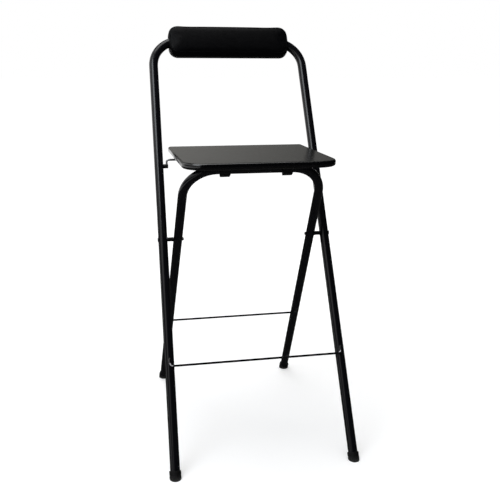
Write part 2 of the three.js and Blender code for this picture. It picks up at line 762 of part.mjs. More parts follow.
const tallGroup = new THREE.Group();
stool.add(tallGroup);
addPiece(tallGroup, 'tall_frame', tallFrame(), finishes.blackPaint);
const tallFront = new THREE.Vector3(0, -Math.cos(tallLean), Math.sin(tallLean));
addPiece(tallGroup, 'footrest_rod', stretcherRod(tallAt, footrestAxisHeight, tallRadius, tallFront), finishes.blackPaint);
for (const [name, side] of leftAndRight) {
  const cap = footCap(tallFootPoint(side), tallCorner(side), tallEndHeight, tallRadius, tallTubeWall);
  addPiece(tallGroup, `front_foot_cap_${name}`, cap, finishes.blackRubber);
  addPiece(tallGroup, `pivot_bolt_${name}`, pivotBolt(side), finishes.blackZinc);
  addPiece(tallGroup, `pivot_sleeve_nut_${name}`, pivotSleeve(side), finishes.blackZinc);
  const spacerBore = pivotBoltDiameter / 2 + fitGap;
  const spacer = ringAlongX(side, spacerInnerX, spacerOuterX, pivotSpacerDiameter / 2, spacerBore);
  addPiece(tallGroup, `pivot_spacer_${name}`, spacer, finishes.blackPlastic);
  const washerInnerX = pivotLowX + lowRadius + fitGap;
  const washerOuterX = washerInnerX + pivotWasherThickness;
  const washer = ringAlongX(side, washerInnerX, washerOuterX, pivotWasherDiameter / 2, spacerBore);
  addPiece(tallGroup, `pivot_washer_${name}`, washer, finishes.blackZinc);
}

const backrest = new THREE.Group();
backrest.position.set(0, backBarY, backBarHeight);
backrest.rotation.x = -tallLean;
tallGroup.add(backrest);
addPiece(backrest, 'backrest_rear_cover', backCover(), finishes.blackPlastic);
addPiece(backrest, 'backrest_pad', backPad(), finishes.padCover);
leftAndRight.forEach(([name], i) => {
  addPiece(backrest, `backrest_screw_${name}`, backScrew(backScrewXs[i]), finishes.blackZinc);
});

const lowGroup = new THREE.Group();
stool.add(lowGroup);
addPiece(lowGroup, 'rear_leg_frame', lowFrame(), finishes.blackPaint);
const lowFront = new THREE.Vector3(0, -Math.cos(lowLean), -Math.sin(lowLean));
addPiece(lowGroup, 'spreader_rod', stretcherRod(lowAt, spreaderAxisHeight, lowRadius, lowFront), finishes.blackPaint);
for (const [name, side] of leftAndRight) {
  const cap = footCap(lowFootPoint(side), lowCorner(side), lowEndHeight, lowRadius, lowTubeWall);
  addPiece(lowGroup, `rear_foot_cap_${name}`, cap, finishes.blackRubber);
}

const seatGroup = new THREE.Group();
stool.add(seatGroup);
addPiece(seatGroup, 'seat_panel', seatBoard(), finishes.seatLaminate);
addPiece(seatGroup, 'seat_hinge_rod', sweepRound(hingeRodPath(), hingeRodRadius, rodSides), finishes.brightZinc);
for (const [name, side] of leftAndRight) {
  addPiece(seatGroup, `hinge_knuckle_${name}`, hingeKnuckle(side), finishes.blackPlastic);
  addPiece(seatGroup, `rod_clip_${name}`, rodClip(side), finishes.blackPlastic);
  addPiece(seatGroup, `seat_hook_${name}`, seatHook(side), finishes.blackPlastic);
}
for (const spot of boardScrewSpots) {
  addPiece(seatGroup, spot.name, boardScrew(spot), finishes.blackZinc);
}

export default stool;
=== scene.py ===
"""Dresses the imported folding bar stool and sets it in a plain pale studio.

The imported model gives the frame: three bodies (tall frame, rear legs, seat) that stay where they are. The hinge
rod, clips, hooks and bolts keep their solids and get finishes. The tubes, rods, seat board, backrest and feet get
finer shapes of the same size, and the rods get their welds. Lengths are in metres.
"""

import logging
import math
from contextlib import contextmanager
from dataclasses import dataclass
from enum import Enum
from typing import Any, Iterable, Iterator, Sequence

import bmesh
import bpy
from mathutils import Matrix, Vector, noise

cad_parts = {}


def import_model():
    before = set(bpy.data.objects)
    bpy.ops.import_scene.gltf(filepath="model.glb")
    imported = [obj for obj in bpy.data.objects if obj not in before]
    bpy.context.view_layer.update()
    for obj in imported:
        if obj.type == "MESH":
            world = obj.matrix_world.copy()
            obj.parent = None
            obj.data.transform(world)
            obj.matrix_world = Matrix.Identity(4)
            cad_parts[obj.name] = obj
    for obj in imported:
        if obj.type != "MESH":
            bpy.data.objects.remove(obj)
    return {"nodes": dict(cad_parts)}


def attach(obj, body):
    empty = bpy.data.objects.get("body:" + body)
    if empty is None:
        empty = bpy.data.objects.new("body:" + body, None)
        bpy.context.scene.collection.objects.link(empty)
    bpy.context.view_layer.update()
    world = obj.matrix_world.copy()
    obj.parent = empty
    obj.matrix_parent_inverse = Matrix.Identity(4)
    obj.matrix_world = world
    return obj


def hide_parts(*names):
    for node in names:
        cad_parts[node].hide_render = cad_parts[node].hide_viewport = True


log = logging.getLogger("folding_bar_stool")

Triple = tuple[float, float, float]
Pair = tuple[float, float]
Piece = bpy.types.Object
Socket = bpy.types.NodeSocket
FIT_GAP = 0.0003
WHITE = (1.0, 1.0, 1.0)


class Body(Enum):
    """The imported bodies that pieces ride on."""

    TALL = "tall_frame_assembly"
    REAR = "rear_leg_assembly"
    SEAT = "seat_assembly"


class Side(Enum):
    """The stool's two sides, with the sign that X has there."""

    LEFT = -1
    RIGHT = 1

    def word(self) -> str:
        """The side as the pieces' names have it."""
        return self.name.lower()


class Grain(Enum):
    """The kinds of fine relief that the finishes carry."""

    ORANGE_PEEL = "orange peel of powder coat"
    LAMINATE = "fine pearl of laminate"
    HIDE = "pebbled hide with creases"
    MOULDED = "spark-eroded mould skin"
    RUBBER = "dull rubber with dust at the floor"
    PLATED = "drawn wire under plating"


class Softening(Enum):
    """How far the edges of a kept solid are eased, in metres."""

    METAL = 0.00025
    MOULDED = 0.0006


def put(thing: Any, **values: Any) -> Any:
    """Sets several properties of a thing.

    Args:
        thing: a node, modifier, lamp or the like.
        values: the properties by name.

    Returns:
        The same thing.
    """
    for key, value in values.items():
        setattr(thing, key, value)
    return thing


# Node trees and finishes


class NodeSheet:
    """A node tree, with short ways to add and join nodes."""

    def __init__(self, tree: bpy.types.NodeTree) -> None:
        """Takes up a tree."""
        self.tree = tree

    def add(self, kind: str, inputs: dict[str | int, Any] | None = None, **settings: Any) -> bpy.types.Node:
        """Adds a node.

        Args:
            kind: the node's type name.
            inputs: values or sockets for its inputs, by name or number.
            settings: its own properties.

        Returns:
            The new node.
        """
        node = put(self.tree.nodes.new(kind), **settings)
        self.feed(node, inputs or {})
        return node

    def feed(self, node: bpy.types.Node, inputs: dict[str | int, Any]) -> None:
        """Links sockets to a node's inputs, and sets its inputs to plain values.

        Args:
            node: the node that is fed.
            inputs: the values or sockets, by the inputs' names or numbers.
        """
        for key, value in inputs.items():
            if isinstance(value, Socket):
                self.tree.links.new(value, node.inputs[key])
            else:
                node.inputs[key].default_value = value

    def maths(self, operation: str, first: Any, second: Any) -> Socket:
        """Two values, put through a Math node."""
        return self.add("ShaderNodeMath", {0: first, 1: second}, operation=operation).outputs["Value"]

    def ranged(self, value: Any, source: Pair, target: Pair, **settings: Any) -> Socket:
        """Maps a value from one range to another, and holds it there.

        Args:
            value: the value to map.
            source: the two ends of its own range.
            target: what it becomes at those ends.
            settings: the node's own properties.

        Returns:
            The mapped value.
        """
        inputs = {"Value": value, "From Min": source[0], "From Max": source[1]}
        inputs |= {"To Min": target[0], "To Max": target[1]}
        return self.add("ShaderNodeMapRange", inputs, **settings).outputs["Result"]

    def seen(self) -> Socket:
        """A share that is one for camera, glossy and transmission rays, and zero for all others.

        Returns:
            The share's socket.
        """
        rays = self.add("ShaderNodeLightPath").outputs
        mirrored = self.maths("MAXIMUM", rays["Is Glossy Ray"], rays["Is Transmission Ray"])
        return self.maths("MAXIMUM", rays["Is Camera Ray"], mirrored)


class ShaderSheet(NodeSheet):
    """A material's node tree, with the patterns that the finishes share."""

    def __init__(self, name: str) -> None:
        """Makes the material.

        Args:
            name: its name.
        """
        self.material = bpy.data.materials.new(name)
        self.material.use_nodes = True
        super().__init__(self.material.node_tree)
        self.surface = self.tree.nodes["Principled BSDF"]
        self.place = self.add("ShaderNodeTexCoord").outputs["Object"]

    def show(self, shader: Socket) -> None:
        """Makes a shader the material's surface."""
        self.feed(self.tree.nodes["Material Output"], {"Surface": shader})

    def noise(self, cell: float, layers: float, stretch: Triple | None = None) -> Socket:
        """Noise with cells of about a given size.

        Args:
            cell: the size of a cell, in metres.
            layers: how many finer layers it has.
            stretch: how much denser it is along X, Y and Z, if it is uneven.

        Returns:
            The noise value, from 0 to 1.
        """
        place = self.place
        if stretch is not None:
            place = self.add("ShaderNodeMapping", {"Vector": place, "Scale": stretch}).outputs["Vector"]
        inputs = {"Vector": place, "Scale": 1.0 / cell, "Detail": layers}
        return self.add("ShaderNodeTexNoise", inputs).outputs["Fac"]

    def spread(self, value: Socket, low: float, high: float, inner: float = 0.3) -> Socket:
        """Maps a noise value's middle band, from inner to one minus inner."""
        return self.ranged(value, (inner, 1.0 - inner), (low, high))

    def blend(self, share: Socket, first: Any, second: Any) -> Socket:
        """Mixes two colours by a share. Numbers 6, 7 and 2 are the node's sockets for colours."""
        return self.add("ShaderNodeMix", {0: share, 6: first, 7: second}, data_type="RGBA").outputs[2]

    def worn_edges(self, width: float, start: float = 0.98, full: float = 0.85) -> Socket:
        """A share that rises at convex edges, where a finish wears first.

        Args:
            width: how wide the worn edges are, in metres.
            start: the cosine of the turn at which wear starts.
            full: the cosine of the turn at which it is full.

        Returns:
            The share's socket.
        """
        rounded = self.add("ShaderNodeBevel", {"Radius": width}, samples=4).outputs["Normal"]
        plain = self.add("ShaderNodeNewGeometry").outputs["Normal"]
        turn = self.add("ShaderNodeVectorMath", {0: rounded, 1: plain}, operation="DOT_PRODUCT")
        return self.ranged(turn.outputs["Value"], (start, full), (0.0, 1.0))


@dataclass(frozen=True)
class Layer:
    """One layer of relief: its height, and its shares of the finish's own depth and strength."""

    height: Socket
    depth: float = 1.0
    strength: float = 1.0


def rgba(colour: Triple) -> tuple[float, float, float, float]:
    """A colour with full opacity."""
    return (*colour, 1.0)


@dataclass(frozen=True)
class Finish:
    """A surface of the stool: its colour, gloss and fine relief."""

    name: str
    slot: str
    grain: Grain
    colour: Triple
    worn_colour: Triple
    roughness: float
    roughness_spread: float
    specular: float
    grain_size: float
    grain_depth: float
    grain_strength: float
    metallic: float = 0.0
    edge_wear: float = 0.0
    worn_width: float = 0.0007
    most_tint: float = 0.5
    dust_colour: Triple = (0.09, 0.088, 0.084)
    dust_height: float = 0.011
    most_dust: float = 0.5

    def material(self) -> bpy.types.Material:
        """Builds the material.

        Returns:
            The finished material, with its colour, roughness and relief from nodes.
        """
        sheet = ShaderSheet(self.name)
        tint = sheet.spread(sheet.noise(cell=0.06, layers=4.0), 0.0, self.most_tint)
        colour = sheet.blend(tint, rgba(self.colour), rgba(self.worn_colour))
        low, high = self.roughness - self.roughness_spread, self.roughness + self.roughness_spread
        roughness = sheet.spread(sheet.noise(cell=0.012, layers=5.0), low, high)
        if self.edge_wear > 0.0:
            chips = sheet.spread(sheet.noise(cell=0.004, layers=6.0), 0.0, self.edge_wear, inner=0.45)
            chipped = sheet.maths("MULTIPLY", sheet.worn_edges(self.worn_width), chips)
            colour = sheet.blend(chipped, colour, rgba(self.worn_colour))
        if self.grain is Grain.RUBBER:
            colour = self._dusty(sheet, colour)
        looks = {"Metallic": self.metallic, "Specular IOR Level": self.specular, "Base Color": colour}
        sheet.feed(sheet.surface, looks | {"Roughness": roughness, "Normal": self._relief(sheet)})
        return sheet.material

    def _relief(self, sheet: ShaderSheet) -> Socket:
        """Lays the grain's bumps on top of each other.

        Args:
            sheet: the material's nodes.

        Returns:
            The bumped normal.
        """
        under: dict[str | int, Any] = {}
        for layer in self._layers(sheet):
            inputs = {"Height": layer.height, "Distance": self.grain_depth * layer.depth}
            inputs |= {"Strength": self.grain_strength * layer.strength} | under
            under = {"Normal": sheet.add("ShaderNodeBump", inputs).outputs["Normal"]}
        return under["Normal"]

    def _layers(self, sheet: ShaderSheet) -> list[Layer]:
        """The layers of the grain's relief.

        Args:
            sheet: the material's nodes.

        Returns:
            The layers, the lowest first.
        """
        size = self.grain_size
        match self.grain:
            case Grain.ORANGE_PEEL:
                sparkle = Layer(sheet.noise(size, layers=2.0), depth=0.4)
                return [Layer(sheet.noise(size * 3.0, layers=1.0)), sparkle]
            case Grain.LAMINATE:
                rubbed = sheet.noise(cell=1.0, layers=4.0, stretch=(14.0, 900.0, 60.0))
                scratches = Layer(sheet.spread(rubbed, 0.0, 1.0, inner=0.38), depth=0.5, strength=0.5)
                return [Layer(sheet.noise(size, layers=2.0)), scratches]
            case Grain.HIDE:
                pebbles = sheet.add("ShaderNodeTexVoronoi", {"Vector": sheet.place, "Scale": 1.0 / size})
                folds = sheet.noise(cell=1.0, layers=5.0, stretch=(38.0, 90.0, 120.0))
                pores = Layer(sheet.noise(size * 0.4, layers=2.0), depth=0.3)
                return [Layer(pebbles.outputs["Distance"]), Layer(folds, depth=6.0, strength=0.5), pores]
            case Grain.PLATED:
                drawn = sheet.noise(cell=1.0, layers=3.0, stretch=(25.0, 1800.0, 1800.0))
                return [Layer(drawn), Layer(sheet.noise(size, layers=2.0), strength=0.6)]
        # moulded plastic and rubber
        flow = Layer(sheet.noise(cell=0.009, layers=2.0), strength=0.5)
        return [flow, Layer(sheet.noise(size, layers=3.0))]

    def _dusty(self, sheet: ShaderSheet, colour: Socket) -> Socket:
        """Lays dust on the last centimetre above the floor.

        Args:
            sheet: the material's nodes.
            colour: the clean colour.

        Returns:
            The dusty colour.
        """
        height = sheet.add("ShaderNodeSeparateXYZ", {"Vector": sheet.place}).outputs["Z"]
        low = sheet.ranged(height, (self.dust_height, 0.0), (0.0, self.most_dust))
        patches = sheet.spread(sheet.noise(cell=0.003, layers=5.0), 0.0, 1.0)
        return sheet.blend(sheet.maths("MULTIPLY", low, patches), colour, rgba(self.dust_colour))


BLACK_POWDER_COAT = Finish(
    "black_powder_coat", "black_paint", Grain.ORANGE_PEEL, (0.003, 0.003, 0.0042), (0.005, 0.005, 0.0064),
    roughness=0.18, roughness_spread=0.02, specular=0.34, edge_wear=0.5,
    grain_size=0.0012, grain_depth=0.00001, grain_strength=0.02,
)
BLACK_ROD_GLOSS = Finish(
    "black_rod_gloss", "black_paint", Grain.ORANGE_PEEL, (0.002, 0.002, 0.003), (0.004, 0.004, 0.005),
    roughness=0.12, roughness_spread=0.02, specular=0.8, edge_wear=0.6,
    grain_size=0.0008, grain_depth=0.00001, grain_strength=0.02,
)
BLACK_LAMINATE = Finish(
    "black_laminate", "seat_laminate", Grain.LAMINATE, (0.017, 0.0168, 0.0158), (0.0195, 0.0193, 0.0182),
    roughness=0.19, roughness_spread=0.01, specular=0.35, edge_wear=0.3,
    grain_size=0.0006, grain_depth=0.00001, grain_strength=0.03,
)
BLACK_EDGE_BAND = Finish(
    "black_edge_band", "seat_laminate", Grain.MOULDED, (0.0015, 0.0015, 0.002), (0.003, 0.003, 0.0036),
    roughness=0.15, roughness_spread=0.02, specular=0.55, edge_wear=0.2,
    grain_size=0.0007, grain_depth=0.00002, grain_strength=0.12,
)
BLACK_HIDE = Finish(
    "black_hide", "pad_cover", Grain.HIDE, (0.0014, 0.0014, 0.0018), (0.0022, 0.0022, 0.0028),
    roughness=0.42, roughness_spread=0.04, specular=0.06,
    grain_size=0.0014, grain_depth=0.00012, grain_strength=0.35,
)
BLACK_PLASTIC = Finish(
    "black_moulded_plastic", "black_plastic", Grain.MOULDED, (0.004, 0.004, 0.0048), (0.007, 0.007, 0.0078),
    roughness=0.42, roughness_spread=0.05, specular=0.25, edge_wear=0.25,
    grain_size=0.0005, grain_depth=0.00003, grain_strength=0.35,
)
BLACK_RUBBER = Finish(
    "black_rubber", "black_rubber", Grain.RUBBER, (0.004, 0.004, 0.0046), (0.009, 0.009, 0.009),
    roughness=0.6, roughness_spread=0.08, specular=0.2, edge_wear=0.3,
    grain_size=0.0007, grain_depth=0.00006, grain_strength=0.4,
)
BRIGHT_ZINC = Finish(
    "bright_zinc_plate", "bright_zinc", Grain.PLATED, (0.6, 0.61, 0.63), (0.42, 0.42, 0.43),
    roughness=0.3, roughness_spread=0.08, specular=0.5, metallic=1.0,
    grain_size=0.0008, grain_depth=0.00002, grain_strength=0.3,
)
# Painted highlight: a near-white bead colour that stands in for the glint of light on the footrest's bends.
PAINTED_GLINT = Finish(
    "bare_weld", "bright_zinc", Grain.PLATED, (0.8, 0.79, 0.83), (0.6, 0.6, 0.63),
    roughness=0.45, roughness_spread=0.05, specular=0.5, metallic=0.3,
    grain_size=0.0008, grain_depth=0.00002, grain_strength=0.2,
)
BLACK_ZINC = Finish(
    "black_zinc_plate", "black_zinc", Grain.PLATED, (0.035, 0.035, 0.038), (0.16, 0.16, 0.165),
    roughness=0.34, roughness_spread=0.08, specular=0.5, metallic=1.0, edge_wear=0.7,
    grain_size=0.0007, grain_depth=0.00002, grain_strength=0.3,
)


# Mesh helpers


@contextmanager
def edited(mesh: bpy.types.Mesh) -> Iterator[bmesh.types.BMesh]:
    """Opens a mesh for editing and writes it back at the end.

    Args:
        mesh: the mesh to edit.

    Yields:
        The open mesh.
    """
    worked = bmesh.new()
    worked.from_mesh(mesh)
    yield worked
    worked.to_mesh(mesh)
    worked.free()


def placed(name: str, data: bpy.types.ID) -> Piece:
    """Makes an object and puts it in the scene.

    Args:
        name: its name.
        data: its mesh, lamp or camera.

    Returns:
        The new object.
    """
    thing = bpy.data.objects.new(name, data)
    bpy.context.scene.collection.objects.link(thing)
    return thing


def mesh_piece(name: str, vertices: Iterable[Sequence[float]], faces: Iterable[Sequence[int]]) -> Piece:
    """Makes a smooth mesh object from points and faces.

    Args:
        name: the object's name.
        vertices: the points, in metres, in the model's frame.
        faces: the corners of each face.

    Returns:
        The new object, its faces turned outward.
    """
    mesh = bpy.data.meshes.new(name)
    mesh.from_pydata([tuple(v) for v in vertices], [], [tuple(f) for f in faces])
    with edited(mesh) as worked:
        bmesh.ops.recalc_face_normals(worked, faces=worked.faces)
        for face in worked.faces:
            face.smooth = True
    return placed(name, mesh)


def ringed_piece(name: str, rings: Sequence[Sequence[Sequence[float]]], looped: bool = False) -> Piece:
    """Makes a smooth mesh object from a stack of closed rings.

    Args:
        name: the object's name.
        rings: the rings, which have the same number of points.
        looped: whether the last ring joins the first. If not, both are capped.

    Returns:
        The new object.
    """
    stack, count = len(rings), len(rings[0])
    faces = []
    for ring in range(stack if looped else stack - 1):
        here, there = ring * count, (ring + 1) % stack * count
        for i in range(count):
            j = (i + 1) % count
            faces.append([here + i, here + j, there + j, there + i])
    if not looped:
        faces.append(list(range(count))[::-1])
        faces.append(list(range((stack - 1) * count, stack * count)))
    return mesh_piece(name, [point for ring in rings for point in ring], faces)


def quarter_round(radius: float, steps: int) -> list[Pair]:
    """How far a rounded edge stands in from the first and from the second of its faces, step by step."""
    angles = [math.pi / 2 * step / steps for step in range(steps + 1)]
    return [(radius * (1 - math.cos(angle)), radius * (1 - math.sin(angle))) for angle in angles]


def rounded_outline(half_x: float, half_y: float, radii: Sequence[float], steps: int) -> list[Pair]:
    """A rounded rectangle about zero.

    Args:
        half_x: half its width.
        half_y: half its depth.
        radii: corner radii, from (+x, +y) anticlockwise.
        steps: how many steps a corner has.

    Returns:
        Its points, anticlockwise.
    """
    points = []
    for quarter, (sign_x, sign_y) in enumerate(((1, 1), (-1, 1), (-1, -1), (1, -1))):
        radius = radii[quarter]
        for step in range(steps + 1):
            angle = math.pi / 2 * (quarter + step / steps)
            x = sign_x * (half_x - radius) + radius * math.cos(angle)
            points.append((x, sign_y * (half_y - radius) + radius * math.sin(angle)))
    return points


def spokes(first: Vector, second: Vector, count: int) -> list[Vector]:
    """Unit spokes all round, from the first of two square directions towards the second."""
    angles = [2 * math.pi * side / count for side in range(count)]
    return [math.cos(angle) * first + math.sin(angle) * second for angle in angles]


def tube_along(
    name: str, path: Sequence[Vector], radii: Sequence[float], sides: int, bore: float = 0.0
) -> Piece:
    """A round bar along a path, turned as little as the path allows. It has caps, unless it has a bore.

    Args:
        name: the object's name.
        path: the points of its middle line.
        radii: its radius at each point.
        sides: how many sides it has.
        bore: the radius of the bore from end to end, if it is a tube.

    Returns:
        The bar as a mesh object.
    """
    last = len(path) - 1
    across = (path[1] - path[0]).normalized().orthogonal().normalized()
    skin = []
    for i, centre in enumerate(path):
        ahead = (path[min(i + 1, last)] - path[max(i - 1, 0)]).normalized()
        across = (across - ahead * across.dot(ahead)).normalized()
        skin.append((centre, radii[i], spokes(across, ahead.cross(across), sides)))
    if bore:
        skin += [(centre, bore, ring) for centre, _, ring in reversed(skin)]
    rings = [[centre + radius * spoke for spoke in ring] for centre, radius, ring in skin]
    return ringed_piece(name, rings, looped=bore > 0.0)


def straight_pin(name: str, start: Vector, end: Vector, radius: float, sides: int = 32) -> Piece:
    """A plain round pin between two points, used to cut bores."""
    return tube_along(name, [start, end], [radius, radius], sides)


def settle(piece: Piece) -> None:
    """Applies all of a piece's modifiers to its mesh.

    Args:
        piece: the piece to settle.
    """
    graph = bpy.context.evaluated_depsgraph_get()
    graph.update()
    evaluated = piece.evaluated_get(graph)
    mesh = bpy.data.meshes.new_from_object(evaluated, preserve_all_data_layers=True, depsgraph=graph)
    piece.modifiers.clear()
    piece.data = mesh


def cut_away(piece: Piece, cutters: Sequence[Piece]) -> None:
    """Cuts each cutter out of a piece and removes the cutters.

    Args:
        piece: the piece that is cut.
        cutters: closed meshes.
    """
    for cutter in cutters:
        bore = piece.modifiers.new("bore", "BOOLEAN")
        put(bore, operation="DIFFERENCE", solver="EXACT", object=cutter)
    settle(piece)
    for cutter in cutters:
        bpy.data.objects.remove(cutter)


def weigh_normals(piece: Piece, weight: int = 60) -> None:
    """Lets wide faces keep their own direction when a piece is shaded smooth."""
    put(piece.modifiers.new("even_shading", "WEIGHTED_NORMAL"), keep_sharp=True, weight=weight)


def sharpen(piece: Piece, above: float) -> None:
    """Shades a piece smooth, but for the edges that turn by more than an angle.

    Args:
        piece: the piece.
        above: the angle, in radians.
    """
    with edited(piece.data) as worked:
        for face in worked.faces:
            face.smooth = True
        for edge in worked.edges:
            edge.smooth = not (len(edge.link_faces) == 2 and edge.calc_face_angle(0.0) > above)
    weigh_normals(piece)


def arc_between(start: Vector, corner: Vector, end: Vector, radius: float, steps: int) -> list[Vector]:
    """The points of a bend at a corner.

    Args:
        start: a point on the way in.
        corner: where the two straight runs would meet.
        end: a point on the way out.
        radius: the bend's radius.
        steps: how many steps it has.

    Returns:
        The points, from the way in to the way out.
    """
    inward, outward = (corner - start).normalized(), (end - corner).normalized()
    turn = inward.angle(outward)
    axis = inward.cross(outward).normalized()
    begin = corner - inward * radius * math.tan(turn / 2)
    to_centre = axis.cross(inward) * radius
    centre = begin + to_centre
    return [centre - Matrix.Rotation(turn * step / steps, 3, axis) @ to_centre for step in range(steps + 1)]


class SolidEasing:
    """Shades the kept solids smoothly and eases their edges, without touching their points."""

    def __init__(self, smooth_below: float = math.radians(32.0), weld_within: float = 1e-6) -> None:
        """Builds the node group that welds a solid's faces and shades them.

        Args:
            smooth_below: edges flatter than this are shaded smooth.
            weld_within: points nearer than this are one.
        """
        self.group = bpy.data.node_groups.new("weld_and_shade", "GeometryNodeTree")
        for way in ("INPUT", "OUTPUT"):
            self.group.interface.new_socket("Geometry", in_out=way, socket_type="NodeSocketGeometry")
        sheet = NodeSheet(self.group)
        geometry = sheet.add("NodeGroupInput").outputs[0]
        angle = sheet.add("GeometryNodeInputMeshEdgeAngle").outputs["Unsigned Angle"]
        steep = sheet.add("FunctionNodeCompare", {0: angle, 1: smooth_below}, operation="GREATER_THAN")
        creased = {"Shade Smooth": False, "Selection": steep.outputs["Result"]}
        for kind, inputs, settings in (
            ("GeometryNodeMergeByDistance", {"Distance": weld_within}, {}),
            ("GeometryNodeRemoveAttribute", {"Name": "custom_normal"}, {}),
            ("GeometryNodeSetShadeSmooth", {}, {}),
            ("GeometryNodeSetShadeSmooth", creased, {"domain": "EDGE"}),
        ):
            geometry = sheet.add(kind, {"Geometry": geometry, **inputs}, **settings).outputs["Geometry"]
        sheet.add("NodeGroupOutput", {0: geometry})

    def ease(self, solid: Piece, softening: Softening, above: float = math.radians(38.0)) -> None:
        """Adds the shading, and a small round on the edges.

        Args:
            solid: the kept CAD node.
            softening: how far its edges are eased.
            above: edges that turn by more than this are eased.
        """
        put(solid.modifiers.new("weld_and_shade", "NODES"), node_group=self.group)
        rounding = solid.modifiers.new("eased_edges", "BEVEL")
        put(rounding, width=softening.value, segments=2, use_clamp_overlap=True)
        put(rounding, limit_method="ANGLE", angle_limit=above)
        weigh_normals(solid)


class Wardrobe:
    """Makes each finish's material once, and finishes the pieces with them."""

    def __init__(self, nodes: dict[str, Piece]) -> None:
        """Starts with no material made.

        Args:
            nodes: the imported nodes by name.
        """
        self.nodes = nodes
        self._easing = SolidEasing()
        self._made: dict[str, bpy.types.Material] = {}

    def _dress(self, piece: Piece, finishes: Sequence[Finish]) -> None:
        """Gives a piece its finishes. Its faces start with the first.

        Args:
            piece: the mesh object.
            finishes: one finish or more.
        """
        piece.data.materials.clear()
        for finish in finishes:
            if finish.name not in self._made:
                self._made[finish.name] = finish.material()
            piece.data.materials.append(self._made[finish.name])

    def fit(self, piece: Piece, body: Body, *finishes: Finish, node: str = "", fill: float = 0.0) -> None:
        """Finishes a new piece and puts it on its body.

        Args:
            piece: the new shape.
            body: the body that it rides on.
            finishes: its finishes. Its faces start with the first.
            node: the solid that it stands for, if any.
            fill: not used.
        """
        self._dress(piece, finishes)
        if node:
            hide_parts(node)
        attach(piece, body.value)
        log.info("%s: %s on %s", piece.name, finishes[0].name, body.value)

    def keep(self, names: Iterable[str], softening: Softening, finish: Finish) -> None:
        """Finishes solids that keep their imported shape.

        Args:
            names: the names of their nodes.
            softening: how far their edges are eased.
            finish: the finish of them all.
        """
        for name in names:
            self._easing.ease(self.nodes[name], softening)
            self._dress(self.nodes[name], [finish])
            log.info("%s: %s, solid kept", name, finish.name)


# The stool's plan, as the solids have it


@dataclass(frozen=True)
class Tube:
    """A tube with two bends. It has a leg on each side and a bar at the top."""

    name: str
    node: str
    body: Body
    radius: float
    bend: float
    feet_behind: float
    foot_span: float
    bar_span: float
    bar_height: float
    bar_shift: float

    def lean(self) -> float:
        """How far its legs lean, in radians."""
        return math.atan2(abs(self.bar_shift), self.bar_height)


@dataclass(frozen=True)
class Leg:
    """One leg of a tube: a straight axis from its foot to the corner above."""

    tube: Tube
    side: Side
    foot: Vector
    corner: Vector

    def along(self) -> Vector:
        """The unit direction up the leg."""
        return (self.corner - self.foot).normalized()

    def at_height(self, height: float) -> Vector:
        """The point of the axis at a height."""
        return self.foot.lerp(self.corner, (height - self.foot.z) / (self.corner.z - self.foot.z))


@dataclass(frozen=True)
class Plan:
    """Where the two bent tubes run, and the screws through the backrest bar."""

    tall: Tube = Tube(
        "tall_bent_tube", "tall_frame", Body.TALL, radius=0.011, bend=0.07, feet_behind=0.0,
        foot_span=0.416, bar_span=0.385, bar_height=0.944, bar_shift=0.497,
    )
    low: Tube = Tube(
        "rear_bent_tube", "rear_leg_frame", Body.REAR, radius=0.0105, bend=0.075, feet_behind=0.551,
        foot_span=0.361, bar_span=0.316, bar_height=0.665, bar_shift=-0.407,
    )
    wall: float = 0.0015
    cap_radius: float = 0.0133
    sole: float = 0.004
    seat_rest_gap: float = 0.0005
    hinge_drop: float = 0.029
    screw_pitch: float = 0.178
    screw_bore: float = 0.0028
    bend_steps: int = 24

    def front_foot_y(self) -> float:
        """The front feet's Y, with all feet's outer edges as far in front of zero as behind it."""
        front_reach, rear_reach = (self.cap_radius / math.cos(tube.lean()) for tube in (self.tall, self.low))
        return -self.low.feet_behind / 2 - (rear_reach - front_reach) / 2

    def leg(self, tube: Tube, side: Side) -> Leg:
        """One of a tube's legs.

        Args:
            tube: the tall or the low tube.
            side: left or right.

        Returns:
            The leg.
        """
        y = self.front_foot_y() + tube.feet_behind
        foot = Vector((side.value * tube.foot_span / 2, y, 0.0))
        corner = Vector((side.value * tube.bar_span / 2, y + tube.bar_shift, tube.bar_height))
        return Leg(tube, side, foot, corner)

    def pivot_height(self) -> float:
        """The height at which the two tubes cross."""
        return self.low.feet_behind / (math.tan(self.tall.lean()) + math.tan(self.low.lean()))

    def seat_underside(self) -> float:
        """The height of the seat board's underside."""
        return self.low.bar_height + self.low.radius + self.seat_rest_gap

    def hinge_height(self) -> float:
        """The height of the axis that the seat swings on."""
        return self.seat_underside() - self.hinge_drop

    def path(self, tube: Tube) -> list[Vector]:
        """The middle line of a tube.

        Args:
            tube: the tall or the low tube.

        Returns:
            The points, from the left leg's cut end to the right's.
        """
        ends, corners = [], []
        for leg in (self.leg(tube, side) for side in Side):
            slope = leg.along().z
            ends.append(leg.at_height(self.sole + FIT_GAP + tube.radius * math.sqrt(1 - slope * slope)))
            corners.append(leg.corner)
        first = arc_between(ends[0], *corners, tube.bend, self.bend_steps)
        second = arc_between(*corners, ends[1], tube.bend, self.bend_steps)
        return [ends[0], *first, *second, ends[1]]

    def backrest_pose(self) -> Matrix:
        """The backrest's own frame: X along the bar, -Y to its front, Z up the tall tube."""
        bar = Vector((0.0, self.front_foot_y() + self.tall.bar_shift, self.tall.bar_height))
        return Matrix.Translation(bar) @ Matrix.Rotation(-self.tall.lean(), 4, "X")

    def screw_pin(self, side: Side, radius: float, start: float, end: float) -> Piece:
        """A cutter for the bore of a backrest screw.

        Args:
            side: which of the two screws.
            radius: the bore's radius.
            start: where it starts, along the backrest's own Y.
            end: where it ends.

        Returns:
            The cutter.
        """
        pose = self.backrest_pose()
        ends = [pose @ Vector((side.value * self.screw_pitch / 2, y, 0.0)) for y in (start, end)]
        return straight_pin("screw_bore", ends[0], ends[1], radius)


@dataclass(frozen=True)
class CrossRod:
    """A rod across two legs, and where it lies on them."""

    name: str
    tube: Tube
    legs: Sequence[Leg]
    height: float
    outward: Vector


